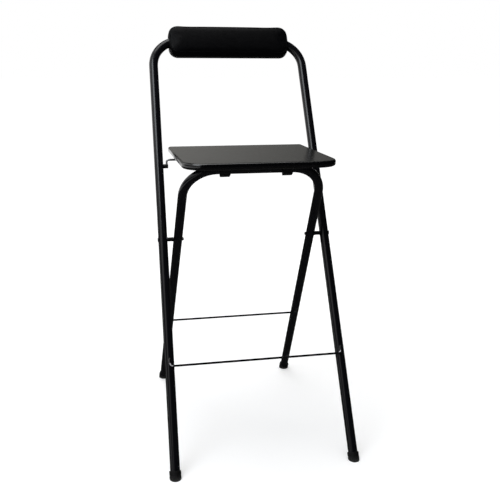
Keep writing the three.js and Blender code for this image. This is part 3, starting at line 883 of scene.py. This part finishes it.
@dataclass
class SteelFrames:
    """The two bent tubes and their rods, and the bolts between them, which keep their solids."""

    plan: Plan
    wardrobe: Wardrobe
    tube_sides: int = 56
    rod_sides: int = 28
    weld_sides: int = 14
    sharp_above: float = math.radians(34.0)
    bolt_bore: float = 0.0033
    sleeve_bore: float = 0.0048
    spigot_bore: float = 0.0039
    bore_reach: float = 0.02
    rod_radius: float = 0.0025
    rod_tip_share: float = 0.72
    rod_tip_length_share: float = 0.08
    rod_bend: float = 0.006
    rod_upturn: float = 0.018
    rod_steps: int = 12
    footrest_height: float = 0.218
    spreader_height: float = 0.236
    weld_length: float = 0.011
    weld_radius: float = 0.0016
    weld_rise: float = 0.011
    weld_sink_share: float = 0.25
    weld_spread_share: float = 0.95
    weld_ends: Pair = (0.02, 0.98)
    weld_fullness: float = 0.4
    weld_ripples: int = 5
    steps_per_ripple: int = 6
    ripple_depth: float = 0.12
    glint_bead_radius: float = 0.0012
    glint_bead_reach: float = 0.0008
    glint_bead_ends: Pair = (0.08, 0.92)
    glint_bead_fullness: float = 0.5
    crook_lift_share: float = 0.85
    left_glint_inset: float = 0.05
    right_glint_inset: float = 0.85
    bolts: tuple[str, ...] = (
        "pivot_bolt_left", "pivot_bolt_right", "pivot_sleeve_nut_left", "pivot_sleeve_nut_right",
        "pivot_washer_left", "pivot_washer_right", "backrest_screw_left", "backrest_screw_right",
    )
    spacers: tuple[str, ...] = ("pivot_spacer_left", "pivot_spacer_right")

    def dress_hardware(self) -> None:
        """Finishes the bolts, nuts, washers, screws and spacers, which keep their solids."""
        self.wardrobe.keep(self.bolts, Softening.METAL, BLACK_ZINC)
        self.wardrobe.keep(self.spacers, Softening.METAL, BLACK_PLASTIC)

    def build_tubes(self) -> None:
        """Makes both bent tubes with the bores for their bolts, spigots and screws."""
        plan = self.plan
        reach = Vector((self.bore_reach, 0.0, 0.0))
        tall_cutters, low_cutters = [], []
        for side in Side:
            out = side.value * reach
            front = plan.leg(plan.tall, side)
            pivot, hinge = front.at_height(plan.pivot_height()), front.at_height(plan.hinge_height())
            tall_cutters.append(straight_pin("sleeve_bore", pivot, pivot + out, self.sleeve_bore))
            tall_cutters.append(straight_pin("bolt_bore", pivot, pivot - out, self.bolt_bore))
            tall_cutters.append(straight_pin("spigot_bore", hinge, hinge - out, self.spigot_bore))
            tall_cutters.append(plan.screw_pin(side, plan.screw_bore, -self.bore_reach, self.bore_reach))
            pivot = plan.leg(plan.low, side).at_height(plan.pivot_height())
            low_cutters.append(straight_pin("bolt_bore", pivot - reach, pivot + reach, self.bolt_bore))
        for tube, cutters in ((plan.tall, tall_cutters), (plan.low, low_cutters)):
            path, bore = plan.path(tube), tube.radius - plan.wall
            bent = tube_along(tube.name, path, [tube.radius] * len(path), self.tube_sides, bore)
            cut_away(bent, cutters)
            sharpen(bent, self.sharp_above)
            self.wardrobe.fit(bent, tube.body, BLACK_POWDER_COAT, node=tube.node)

    def _rods(self) -> list[CrossRod]:
        """The footrest rod on the front of the tall tube, and the spreader rod under the low one.

        Returns:
            Both rods' places.
        """
        rods = []
        for name, tube, height, upward in (
            ("footrest", self.plan.tall, self.footrest_height, 1),
            ("spreader", self.plan.low, self.spreader_height, -1),
        ):
            outward = Vector((0.0, -math.cos(tube.lean()), upward * math.sin(tube.lean())))
            rods.append(CrossRod(name, tube, [self.plan.leg(tube, side) for side in Side], height, outward))
        return rods

    def _seats(self, rod: CrossRod) -> list[Vector]:
        """The two points where a rod's axis crosses the fronts of its legs."""
        clear = self.rod_radius + FIT_GAP
        return [leg.at_height(rod.height) + rod.outward * (leg.tube.radius + clear) for leg in rod.legs]

    def build_rods(self) -> None:
        """Makes the footrest rod and the spreader rod, with their ends turned up along the legs."""
        steps = self.rod_steps
        for rod in self._rods():
            lows = self._seats(rod)
            tips = [low + leg.along() * self.rod_upturn for low, leg in zip(lows, rod.legs)]
            first = arc_between(tips[0], lows[0], lows[1], self.rod_bend, steps)
            second = arc_between(lows[0], lows[1], tips[1], self.rod_bend, steps)
            middle = [first[-1].lerp(second[0], step / steps) for step in range(1, steps)]
            rounds = [tips[0].lerp(first[0], self.rod_tip_length_share)]
            rounds.append(tips[1].lerp(second[-1], self.rod_tip_length_share))
            path = [tips[0], rounds[0], *first, *middle, *second, rounds[1], tips[1]]
            radii = [self.rod_radius] * len(path)
            radii[0] = radii[-1] = self.rod_radius * self.rod_tip_share
            bar = tube_along(f"{rod.name}_bar", path, radii, self.rod_sides)
            sharpen(bar, self.sharp_above)
            self.wardrobe.fit(bar, rod.tube.body, BLACK_ROD_GLOSS, node=f"{rod.name}_rod")

    def build_welds(self) -> None:
        """Lays a rippled weld on both sides of each rod end, and at the footrest's bends a bright bead that is a
        painted highlight.
        """
        footrest, spreader = self._rods()
        for front, rear in zip(footrest.legs, spreader.legs):
            self._weld_pair(footrest, front)
            self._lay_painted_glint(footrest, front)
            self._weld_pair(spreader, rear)

    def _lay_painted_glint(self, rod: CrossRod, leg: Leg) -> None:
        """A bright bead at the bend of a rod end. It is a painted highlight that stands in for the glint of light
        on the bend.

        The left one lies on the bend and the right one in its crook, as photographed.

        Args:
            rod: the rod.
            leg: the leg that carries this end.
        """
        left = leg.side is Side.LEFT
        low, far = self._seats(rod) if left else reversed(self._seats(rod))
        up, inward = leg.along(), (far - low).normalized()
        bend = arc_between(low + up * self.rod_upturn, low, far, self.rod_bend, self.rod_steps)
        run = [bend[0] + up * self.glint_bead_reach, *bend, bend[-1] + inward * self.glint_bead_reach]
        centre = low + (up + inward) * self.rod_bend
        ways = [inward, *((centre - point).normalized() for point in bend), up]
        inset = self.left_glint_inset if left else self.right_glint_inset
        lift = math.sqrt(1.0 - inset ** 2) * self.crook_lift_share
        path = [point + (way * inset + rod.outward * lift) * self.rod_radius for point, way in zip(run, ways)]
        start, end = self.glint_bead_ends
        shares = [start + (end - start) * step / (len(path) - 1) for step in range(len(path))]
        tapers = [math.sin(math.pi * share) ** self.glint_bead_fullness for share in shares]
        radii = [self.glint_bead_radius * taper for taper in tapers]
        # The bead's near-white finish is a painted highlight of the glint on the rod's bend.
        bead = tube_along(f"{rod.name}_weld_{leg.side.word()}_crook", path, radii, self.weld_sides)
        self.wardrobe.fit(bead, rod.tube.body, PAINTED_GLINT)

    def _weld_pair(self, rod: CrossRod, leg: Leg) -> None:
        """One weld each side of a rod end.

        Args:
            rod: the rod.
            leg: the leg that carries this end.
        """
        up = leg.along()
        across = up.cross(rod.outward).normalized()
        reach = leg.tube.radius + self.rod_radius * self.weld_sink_share
        seat = leg.at_height(rod.height) + up * self.weld_rise + rod.outward * reach
        steps = self.weld_ripples * self.steps_per_ripple
        start, end = self.weld_ends
        for place, shift in (("inner", -leg.side.value), ("outer", leg.side.value)):
            middle = seat + across * shift * self.rod_radius * self.weld_spread_share
            path, radii = [], []
            for step in range(steps + 1):
                share = step / steps
                path.append(middle + up * self.weld_length * (share - 0.5))
                taper = math.sin(math.pi * min(max(share, start), end)) ** self.weld_fullness
                ripple = 1.0 + self.ripple_depth * math.cos(2 * math.pi * self.weld_ripples * share)
                radii.append(self.weld_radius * taper * ripple)
            bead = tube_along(f"{rod.name}_weld_{leg.side.word()}_{place}", path, radii, self.weld_sides)
            self.wardrobe.fit(bead, rod.tube.body, BLACK_ROD_GLOSS)


@dataclass
class RubberFeet:
    """Four moulded rubber feet, cut flat where they stand."""

    plan: Plan
    wardrobe: Wardrobe
    cap_height: float = 0.015
    below: float = 0.03
    core: float = 0.0005
    lip: float = 0.0014
    lip_steps: int = 5
    groove_start: float = 0.0055
    groove_slope: float = 0.0006
    groove_width: float = 0.002
    groove_depth: float = 0.0005
    bore_edge: float = 0.0003
    bore_depth: float = 0.004
    sides: int = 48
    sharp_above: float = math.radians(35.0)

    def build(self) -> None:
        """Makes the feet and puts them in place of their solids."""
        for side in Side:
            for place, tube in (("front", self.plan.tall), ("rear", self.plan.low)):
                foot = self._foot(f"{place}_rubber_foot_{side.word()}", self.plan.leg(tube, side))
                self.wardrobe.fit(foot, tube.body, BLACK_RUBBER, node=f"{place}_foot_cap_{side.word()}")

    def _profile(self, top: float, bore: float) -> list[Pair]:
        """The foot's outline, from the middle of its underside round to the floor of its bore.

        Args:
            top: how far up the leg the foot reaches.
            bore: the bore's radius.

        Returns:
            Points as (radius, distance up the leg).
        """
        radius, groove = self.plan.cap_radius, self.plan.cap_radius - self.groove_depth
        start, end = self.groove_start, self.groove_start + self.groove_width
        points = [(self.core, -self.below), (radius, -self.below), (radius, start)]
        points += [(groove, start + self.groove_slope), (groove, end - self.groove_slope), (radius, end)]
        points += [(radius - side, top - drop) for side, drop in quarter_round(self.lip, self.lip_steps)]
        points += [(bore + self.bore_edge, top), (bore, top - self.bore_edge)]
        return [*points, (bore, top - self.bore_depth), (self.core, top - self.bore_depth)]

    def _foot(self, name: str, leg: Leg) -> Piece:
        """Makes one foot.

        Args:
            name: the piece's name.
            leg: the leg that stands in it.

        Returns:
            The foot, cut off at the floor.
        """
        up = leg.along()
        across = up.orthogonal().normalized()
        ring = spokes(across, up.cross(across).normalized(), self.sides)
        top = (leg.at_height(self.cap_height) - leg.foot).length
        profile = self._profile(top, leg.tube.radius + FIT_GAP)
        foot = ringed_piece(name, [[leg.foot + up * z + r * spoke for spoke in ring] for r, z in profile])
        with edited(foot.data) as worked:
            geometry = [*worked.verts, *worked.edges, *worked.faces]
            cut = bmesh.ops.bisect_plane(
                worked, geom=geometry, plane_co=(0, 0, 0), plane_no=(0, 0, -1), clear_outer=True
            )
            rim = [edge for edge in cut["geom_cut"] if isinstance(edge, bmesh.types.BMEdge)]
            bmesh.ops.edgeloop_fill(worked, edges=rim)
        sharpen(foot, self.sharp_above)
        return foot


@dataclass
class SeatBoard:
    """The flat seat with its rounded edge, and the parts fixed under it."""

    plan: Plan
    wardrobe: Wardrobe
    side_gap: float = 0.015
    thickness: float = 0.015
    front_overhang: float = 0.0924
    rear_overhang: float = 0.038
    front_corner: float = 0.05
    rear_corner: float = 0.008
    least_corner: float = 0.0002
    edge_radius: float = 0.006
    flat_margins: Pair = (0.0006, 0.02)
    band_from: float = 0.8
    underside_from: float = 0.995
    corner_steps: int = 18
    edge_steps: int = 10
    plastic: tuple[str, ...] = (
        "hinge_knuckle_left", "hinge_knuckle_right", "rod_clip_left", "rod_clip_right",
        "seat_hook_left", "seat_hook_right",
    )

    def _outlines(self) -> list[Pair]:
        """The board's outlines, from the middle of its underside to the middle of its top.

        Returns:
            Their insets and heights.
        """
        low = self.plan.seat_underside()
        top = low + self.thickness
        edge = quarter_round(self.edge_radius, self.edge_steps)
        lower = [(inset, low + drop) for drop, inset in edge]
        upper = [(inset, top - drop) for drop, inset in reversed(edge)]
        support, wide = (self.edge_radius + margin for margin in self.flat_margins)
        return [(wide, low), (support, low), *lower, *upper, (support, top), (wide, top)]

    def build_board(self) -> None:
        """Makes the board and puts it in place of its solid."""
        plan = self.plan
        front_y = plan.leg(plan.low, Side.RIGHT).corner.y - self.front_overhang
        hinge = plan.leg(plan.tall, Side.RIGHT).at_height(plan.hinge_height())
        depth = hinge.y + self.rear_overhang - front_y
        width = 2 * (hinge.x - plan.tall.radius - self.side_gap)
        rings = []
        for inset, height in self._outlines():
            rear, front = (max(c - inset, self.least_corner) for c in (self.rear_corner, self.front_corner))
            radii = (rear, rear, front, front)
            outline = rounded_outline(width / 2 - inset, depth / 2 - inset, radii, self.corner_steps)
            rings.append([(x, front_y + depth / 2 + y, height) for x, y in outline])
        board = ringed_piece("seat_board", rings)
        self.wardrobe.fit(board, Body.SEAT, BLACK_LAMINATE, BLACK_EDGE_BAND, node="seat_panel")
        for polygon in board.data.polygons:
            flat = polygon.normal.z > self.band_from or polygon.normal.z < -self.underside_from
            polygon.material_index = 0 if flat else 1

    def dress_underside(self) -> None:
        """Finishes the rod, knuckles, clips, hooks and their screws, which keep their solids."""
        screws = [name for name in self.wardrobe.nodes if "clip_screw" in name or "hook_screw" in name]
        self.wardrobe.keep(["seat_hinge_rod"], Softening.METAL, BRIGHT_ZINC)
        self.wardrobe.keep(self.plastic, Softening.MOULDED, BLACK_PLASTIC)
        self.wardrobe.keep(screws, Softening.METAL, BLACK_ZINC)


@dataclass
class Backrest:
    """The padded front half of the backrest, its welt, and the moulded cover behind it."""

    plan: Plan
    wardrobe: Wardrobe
    width: float = 0.311
    height: float = 0.079
    corner: float = 0.023
    corner_shares: Pair = (1 / 3, 0.98)
    reach: float = 0.0185
    roll: float = 0.009
    crown: float = 0.002
    drop: float = 0.0019
    offset: float = 0.004
    side_pull: float = 0.0008
    flat_reach: float = 0.004
    crown_steps: int = 9
    corner_steps: int = 12
    roll_steps: int = 8
    channel_sides: int = 40
    cover_reach: float = 0.016
    cover_roll: float = 0.007
    cover_groove: float = 0.0007
    groove_insets: tuple[float, ...] = (0.0022, 0.0026, 0.004, 0.0044, 0.012)
    cover_sharp_above: float = math.radians(28.0)
    screw_head_bore: float = 0.00505
    screw_bite: float = 0.004
    screw_recess: float = 0.0016
    overrun: float = 0.001
    past_cover: float = 0.03
    skin_inset: float = -0.0005
    held_behind: float = -0.006
    most_swell: float = 0.0016
    voxel: float = 0.004
    pressure: float = 4.0
    frames: int = 20
    relax_share: float = 0.5
    relax_rounds: int = 3
    crease_depth: float = 0.0004
    crease_from: float = 0.11
    crease_fade: float = 0.045
    crease_density: Triple = (55.0, 90.0, 45.0)
    fill: float = 0.9
    welt_radius: float = 0.0009
    welt_spacing: float = 0.002
    welt_inset_share: float = 0.42
    welt_depth_share: float = 0.2
    welt_sides: int = 10

    def _cushion_outlines(self) -> list[Pair]:
        """The cushion's outlines, from the bar's plane forward.

        Returns:
            Their insets and depths.
        """
        slack = self.skin_inset
        outlines = [(slack, 0.0), (slack, self.flat_reach)]
        for inset, short in quarter_round(self.roll, self.roll_steps):
            outlines.append((slack + inset, self.reach - self.crown - short - slack))
        rest = self.height / 2 - self.roll - slack
        for step in range(1, self.crown_steps):
            share = step / self.crown_steps
            depth = self.reach - self.crown * (1 - share) ** 2
            outlines.append((slack + self.roll + rest * share, depth - slack))
        return outlines

    def _outline(self, inset: float) -> list[Pair]:
        """The backrest's outline at an inset, with sides that draw in between the corners.

        Args:
            inset: how far it stands in from the whole size.

        Returns:
            Its points as (X, Z) in the backrest's own frame.
        """
        half_x, half_z = self.width / 2 - inset, self.height / 2 - inset
        least, most = half_z * self.corner_shares[0], half_z * self.corner_shares[1]
        radius = min(max(self.corner - inset, least), most)
        points = []
        for x, z in rounded_outline(half_x, half_z, (radius,) * 4, self.corner_steps):
            pull = 1 - self.side_pull * (1 - (x / half_x) ** 2) / (self.height / 2)
            points.append((x + self.offset, z * pull - self.drop))
        return points

    def _half(self, name: str, outlines: Sequence[Pair], facing: int) -> Piece:
        """One closed half of the backrest, in the backrest's own frame.

        Args:
            name: the piece's name.
            outlines: the insets and depths of its outlines.
            facing: -1 for the front half, 1 for the rear half.

        Returns:
            The half as a mesh object.
        """
        rings = []
        for inset, depth in outlines:
            rings.append([(x, facing * (FIT_GAP / 2 + depth), z) for x, z in self._outline(inset)])
        return ringed_piece(name, rings)

    def _swell(self, cushion: Piece) -> None:
        """Fills the cushion by cloth under pressure, and caps how far it moves.

        Args:
            cushion: the form before it is filled. Its mesh is replaced by the filled one.
        """
        put(cushion.modifiers.new("even_cells", "REMESH"), mode="VOXEL", voxel_size=self.voxel)
        settle(cushion)
        start = [vertex.co.copy() for vertex in cushion.data.vertices]
        held = cushion.vertex_groups.new(name="held")
        held.add([v.index for v in cushion.data.vertices if v.co.y > self.held_behind], 1.0, "REPLACE")
        cloth = cushion.modifiers.new("skin", "CLOTH")
        put(cloth.settings, use_pressure=True, uniform_pressure_force=self.pressure, vertex_group_mass="held")
        put(cloth.settings.effector_weights, gravity=0.0)
        put(cloth.point_cache, frame_start=1, frame_end=self.frames)
        scene = bpy.context.scene
        for frame in range(1, self.frames + 1):
            scene.frame_set(frame)
        settle(cushion)
        scene.frame_set(1)
        for vertex, origin in zip(cushion.data.vertices, start):
            moved = vertex.co - origin
            if moved.length > self.most_swell:
                vertex.co = origin + moved * (self.most_swell / moved.length)
        cushion.vertex_groups.clear()
        relax = cushion.modifiers.new("relax", "SMOOTH")
        put(relax, factor=self.relax_share, iterations=self.relax_rounds)
        settle(cushion)

    def _crease(self, cushion: Piece) -> None:
        """Presses shallow, slow folds into the skin where it turns over the corners.

        Args:
            cushion: the filled cushion.
        """
        for vertex in cushion.data.vertices:
            from_middle = abs(vertex.co.x - self.offset)
            near_end = min(1.0, max(0.0, (from_middle - self.crease_from) / self.crease_fade))
            wave = noise.noise(vertex.co * Vector(self.crease_density))
            vertex.co -= vertex.normal * (self.crease_depth * near_end * max(0.0, wave))

    def _cutters(self, start: float, end: float) -> list[Piece]:
        """Cutters for the bar's channel and for both screws.

        Args:
            start: where the screws' bores start, along the backrest's own Y.
            end: where they end.

        Returns:
            The cutters, the channel's first.
        """
        path = self.plan.path(self.plan.tall)
        bar = [self.plan.tall.radius + FIT_GAP] * len(path)
        channel = tube_along("bar_channel", path, bar, self.channel_sides)
        return [channel, *(self.plan.screw_pin(side, self.plan.screw_bore, start, end) for side in Side)]

    def build_cushion(self) -> Piece:
        """Makes the cushion and puts it in place of its solid.

        Returns:
            The cushion.
        """
        cushion = self._half("backrest_cushion", self._cushion_outlines(), facing=-1)
        self._swell(cushion)
        put(cushion.modifiers.new("fine_skin", "SUBSURF"), levels=1, render_levels=1)
        settle(cushion)
        self._crease(cushion)
        cushion.data.transform(self.plan.backrest_pose())
        depth = self.plan.tall.radius + self.screw_bite + 2 * FIT_GAP
        cut_away(cushion, self._cutters(-depth, self.overrun))
        for polygon in cushion.data.polygons:
            polygon.use_smooth = True
        self.wardrobe.fit(cushion, Body.TALL, BLACK_HIDE, node="backrest_pad", fill=self.fill)
        return cushion

    def _seam(self, cushion: Piece) -> list[Vector]:
        """An even loop round the cushion's front edge, laid on its skin.

        Args:
            cushion: the finished cushion.

        Returns:
            The loop's points, in the model's frame.
        """
        pose = self.plan.backrest_pose()
        y = -FIT_GAP / 2 - (self.reach - self.crown - self.roll * self.welt_depth_share)
        corners = [pose @ Vector((x, y, z)) for x, z in self._outline(self.roll * self.welt_inset_share)]
        loop = []
        for start, end in zip(corners, corners[1:] + corners[:1]):
            steps = max(1, round((end - start).length / self.welt_spacing))
            loop += [start.lerp(end, step / steps) for step in range(steps)]
        loop = [cushion.closest_point_on_mesh(point)[1] for point in loop]
        for _ in range(self.relax_rounds):
            loop = [(loop[i - 1] + point * 2 + loop[(i + 1) % len(loop)]) / 4 for i, point in enumerate(loop)]
        return loop

    def build_welt(self, cushion: Piece) -> None:
        """Lays the thin welt that closes the skin round the front edge.

        Args:
            cushion: the finished cushion that it lies on.
        """
        loop = self._seam(cushion)
        outward = (self.plan.backrest_pose().to_3x3() @ Vector((0, -1, 0))).normalized()
        rings = []
        for i, centre in enumerate(loop):
            ahead = (loop[(i + 1) % len(loop)] - loop[i - 1]).normalized()
            ring = spokes(ahead.cross(outward).normalized(), outward, self.welt_sides)
            rings.append([centre + self.welt_radius * spoke for spoke in ring])
        welt = ringed_piece("backrest_welt", rings, looped=True)
        self.wardrobe.fit(welt, Body.TALL, BLACK_HIDE)

    def build_cover(self) -> None:
        """Makes the moulded rear half, with its channel, screw recesses and a shallow groove round its face."""
        face, floor = self.cover_reach, self.cover_reach - self.cover_groove
        edge = quarter_round(self.cover_roll, self.roll_steps)
        outlines = [(0.0, 0.0), *((inset, face - short) for inset, short in edge)]
        for inset, depth in zip(self.groove_insets, (face, floor, floor, face, face)):
            outlines.append((self.cover_roll + inset, depth))
        cover = self._half("backrest_moulded_cover", outlines, facing=1)
        cover.data.transform(self.plan.backrest_pose())
        head_seat = FIT_GAP / 2 + self.cover_reach - self.screw_recess
        cutters = self._cutters(-self.overrun, self.past_cover)
        for side in Side:
            cutters.append(self.plan.screw_pin(side, self.screw_head_bore, head_seat, self.past_cover))
        cut_away(cover, cutters)
        sharpen(cover, self.cover_sharp_above)
        self.wardrobe.fit(cover, Body.TALL, BLACK_PLASTIC, node="backrest_rear_cover")


# The studio


@dataclass(frozen=True)
class PhotoCamera:
    """The photograph's camera, as fitted to its straight edges."""

    location: Triple = (-0.35742, -1.75747, 0.90766)
    azimuth: float = math.radians(-12.0208)
    pitch: float = math.radians(14.5071)
    roll: float = math.radians(0.3053)
    focal_pixels: float = 748.18
    photo_pixels: int = 500
    sensor: float = 36.0
    nearest: float = 0.01

    def place(self) -> None:
        """Makes the camera and sets it as the scene's own."""
        turn = (math.cos(self.azimuth), math.sin(self.azimuth))
        tilt = (math.cos(self.pitch), math.sin(self.pitch))
        ahead = Vector((-turn[1] * tilt[0], turn[0] * tilt[0], -tilt[1]))
        level = Vector((turn[0], turn[1], 0.0))
        upright = level.cross(ahead)
        right = math.cos(self.roll) * level + math.sin(self.roll) * upright
        up = math.cos(self.roll) * upright - math.sin(self.roll) * level
        lens = self.focal_pixels * self.sensor / self.photo_pixels
        data = put(bpy.data.cameras.new("photo_camera"), sensor_fit="HORIZONTAL", sensor_width=self.sensor)
        camera = placed("photo_camera", put(data, lens=lens, clip_start=self.nearest))
        turned = Matrix((right, up, -ahead)).transposed().to_4x4()
        camera.matrix_world = Matrix.Translation(self.location) @ turned
        bpy.context.scene.camera = camera


@dataclass(frozen=True)
class Softbox:
    """A large soft lamp."""

    name: str
    location: Triple
    target: Triple
    size: Pair
    power: float
    colour: Triple = WHITE

    def place(self) -> None:
        """Makes the lamp, facing its target."""
        data = put(bpy.data.lights.new(self.name, "AREA"), shape="RECTANGLE", energy=self.power)
        lamp = placed(self.name, put(data, size=self.size[0], size_y=self.size[1], color=self.colour))
        aim = Vector(self.target) - Vector(self.location)
        turned = aim.to_track_quat("-Z", "Y").to_euler()
        put(lamp, location=self.location, rotation_euler=turned, visible_camera=False)


def flat_sheet(name: str, low: Triple, high: Triple) -> Piece:
    """A rectangle between two corners, square to an axis.

    Args:
        name: the object's name.
        low: the corner with the lowest X, Y and Z.
        high: the corner with the highest.

    Returns:
        The rectangle as a mesh object.
    """
    flat = min(range(3), key=lambda axis: abs(high[axis] - low[axis]))
    across, along = (axis for axis in range(3) if axis != flat)
    corners = [list(low) for _ in range(4)]
    for moved, axis in ((corners[1:3], across), (corners[2:], along)):
        for corner in moved:
            corner[axis] = high[axis]
    return mesh_piece(name, corners, [(0, 1, 2, 3)])


@dataclass(frozen=True)
class PaintedReflectionSheet:
    """A plain upright or level sheet of painted reflection. Only reflections see it, so it puts a painted dark or
    glowing grey reflection into the gloss and casts no shadow.
    """

    name: str
    low: Triple
    high: Triple
    shades: Pair = (0.0, 0.0)
    shaded_between: Pair = (0.2, 1.7)
    colour: Triple = (1.0, 0.985, 0.94)

    def place(self) -> None:
        """Makes the sheet between its two corners, glowing with a painted reflection shade that runs from left to
        right.
        """
        screen = flat_sheet(self.name, self.low, self.high)
        # Painted reflection: the sheet glows with its shade and is seen by glossy rays only. It is no cloth and
        # no lamp.
        sheet = ShaderSheet(f"{self.name}_cloth")
        x = sheet.add("ShaderNodeSeparateXYZ", {"Vector": sheet.place}).outputs["X"]
        shade = sheet.ranged(x, self.shaded_between, self.shades)
        glow = sheet.add("ShaderNodeEmission", {"Color": rgba(self.colour), "Strength": shade})
        sheet.show(glow.outputs["Emission"])
        screen.data.materials.append(sheet.material)
        put(screen, visible_camera=False, visible_diffuse=False)
        put(screen, visible_shadow=False, visible_transmission=False)


@dataclass
class Studio:
    """A pale floor under a white surround, lit by large soft lamps, with sheets that only reflections see, which
    paint dark and grey reflections into the gloss.
    """

    floor_size: float = 60.0
    floor_colour: Triple = (0.8, 0.8, 0.8)
    floor_roughness: float = 0.9
    floor_glows: Pair = (0.36, 0.62)
    glow_distances: Pair = (0.5, 2.2)
    ambient: float = 0.5
    lamps: tuple[Softbox, ...] = (
        Softbox("key_softbox", (-1.36, -0.97, 2.53), (0.0, 0.0, 0.8), (1.25, 1.0), 21.0, (0.9, 0.95, 1.0)),
        Softbox("top_softbox", (-0.3, 0.3, 3.2), (0.0, 0.0, 0.4), (2.0, 2.0), 42.0),
    )
    # Painted reflections: black sheets all round and above, a near-black sheet over the floor, and a rear sheet
    # that glows grey, fading from left to right. Only the gloss sees them.
    painted_reflection_sheets: tuple[PaintedReflectionSheet, ...] = (
        PaintedReflectionSheet("overhead_flag", (-2.4, -4.4, 3.9), (4.0, 4.4, 3.9)),
        PaintedReflectionSheet("front_flag", (-2.4, -4.4, 0.0), (4.0, -4.4, 3.9)),
        PaintedReflectionSheet("right_flag", (4.0, -4.4, 0.0), (4.0, 4.4, 3.9)),
        PaintedReflectionSheet("rear_flag", (-2.4, 4.4, 0.6), (4.0, 4.4, 3.9), shades=(0.31, 0.12)),
        PaintedReflectionSheet("left_flag", (-2.4, -4.4, 0.5), (-2.4, 1.2, 1.3)),
        PaintedReflectionSheet("floor_flag", (-2.4, -4.4, 0.004), (4.0, 2.6, 0.004), shades=(0.04, 0.04)),
    )

    def build(self) -> None:
        """Sets the colour management, the floor, the surround, the lamps and the sheets of painted reflection."""
        bpy.context.scene.view_settings.view_transform = "Standard"
        self._floor()
        self._surround()
        for thing in (*self.lamps, *self.painted_reflection_sheets):
            thing.place()
        log.info("studio: floor, surround, %d lamps and %d flags", len(self.lamps), len(self.painted_reflection_sheets))

    def _floor(self) -> None:
        """Makes a wide floor that keeps the stool's shadow, and turns white away from it."""
        half = self.floor_size / 2
        floor = flat_sheet("studio_floor", (-half, -half, 0.0), (half, half, 0.0))
        sheet = ShaderSheet("pale_floor")
        looks = {"Base Color": rgba(self.floor_colour), "Roughness": self.floor_roughness}
        sheet.feed(sheet.surface, looks | {"Specular IOR Level": 0.0})
        away = sheet.add("ShaderNodeVectorMath", {0: sheet.place}, operation="LENGTH").outputs["Value"]
        amount = sheet.ranged(away, self.glow_distances, self.floor_glows, interpolation_type="SMOOTHSTEP")
        strength = sheet.maths("MULTIPLY", sheet.seen(), amount)
        glow = sheet.add("ShaderNodeEmission", {"Color": rgba(WHITE), "Strength": strength})
        shaders = {0: sheet.surface.outputs["BSDF"], 1: glow.outputs["Emission"]}
        sheet.show(sheet.add("ShaderNodeAddShader", shaders).outputs["Shader"])
        floor.data.materials.append(sheet.material)

    def _surround(self) -> None:
        """Makes the surround white where it is seen or mirrored, and a plain ambient light elsewhere."""
        world = bpy.data.worlds.new("studio_surround")
        world.use_nodes = True
        sheet = NodeSheet(world.node_tree)
        strength = sheet.ranged(sheet.seen(), (0.0, 1.0), (self.ambient, 1.0))
        sheet.feed(world.node_tree.nodes["Background"], {"Strength": strength, "Color": rgba(WHITE)})
        bpy.context.scene.world = world


def main() -> None:
    """Builds the scene in order and reports each piece."""
    logging.basicConfig(level=logging.INFO, format="%(name)s: %(message)s")
    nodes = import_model()["nodes"]
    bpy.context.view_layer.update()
    PhotoCamera().place()
    Studio().build()
    plan, wardrobe = Plan(), Wardrobe(nodes)
    frames = SteelFrames(plan, wardrobe)
    frames.build_tubes()
    frames.build_rods()
    frames.build_welds()
    frames.dress_hardware()
    RubberFeet(plan, wardrobe).build()
    seat = SeatBoard(plan, wardrobe)
    seat.build_board()
    seat.dress_underside()
    backrest = Backrest(plan, wardrobe)
    backrest.build_welt(backrest.build_cushion())
    backrest.build_cover()


if __name__ == "__main__":
    main()
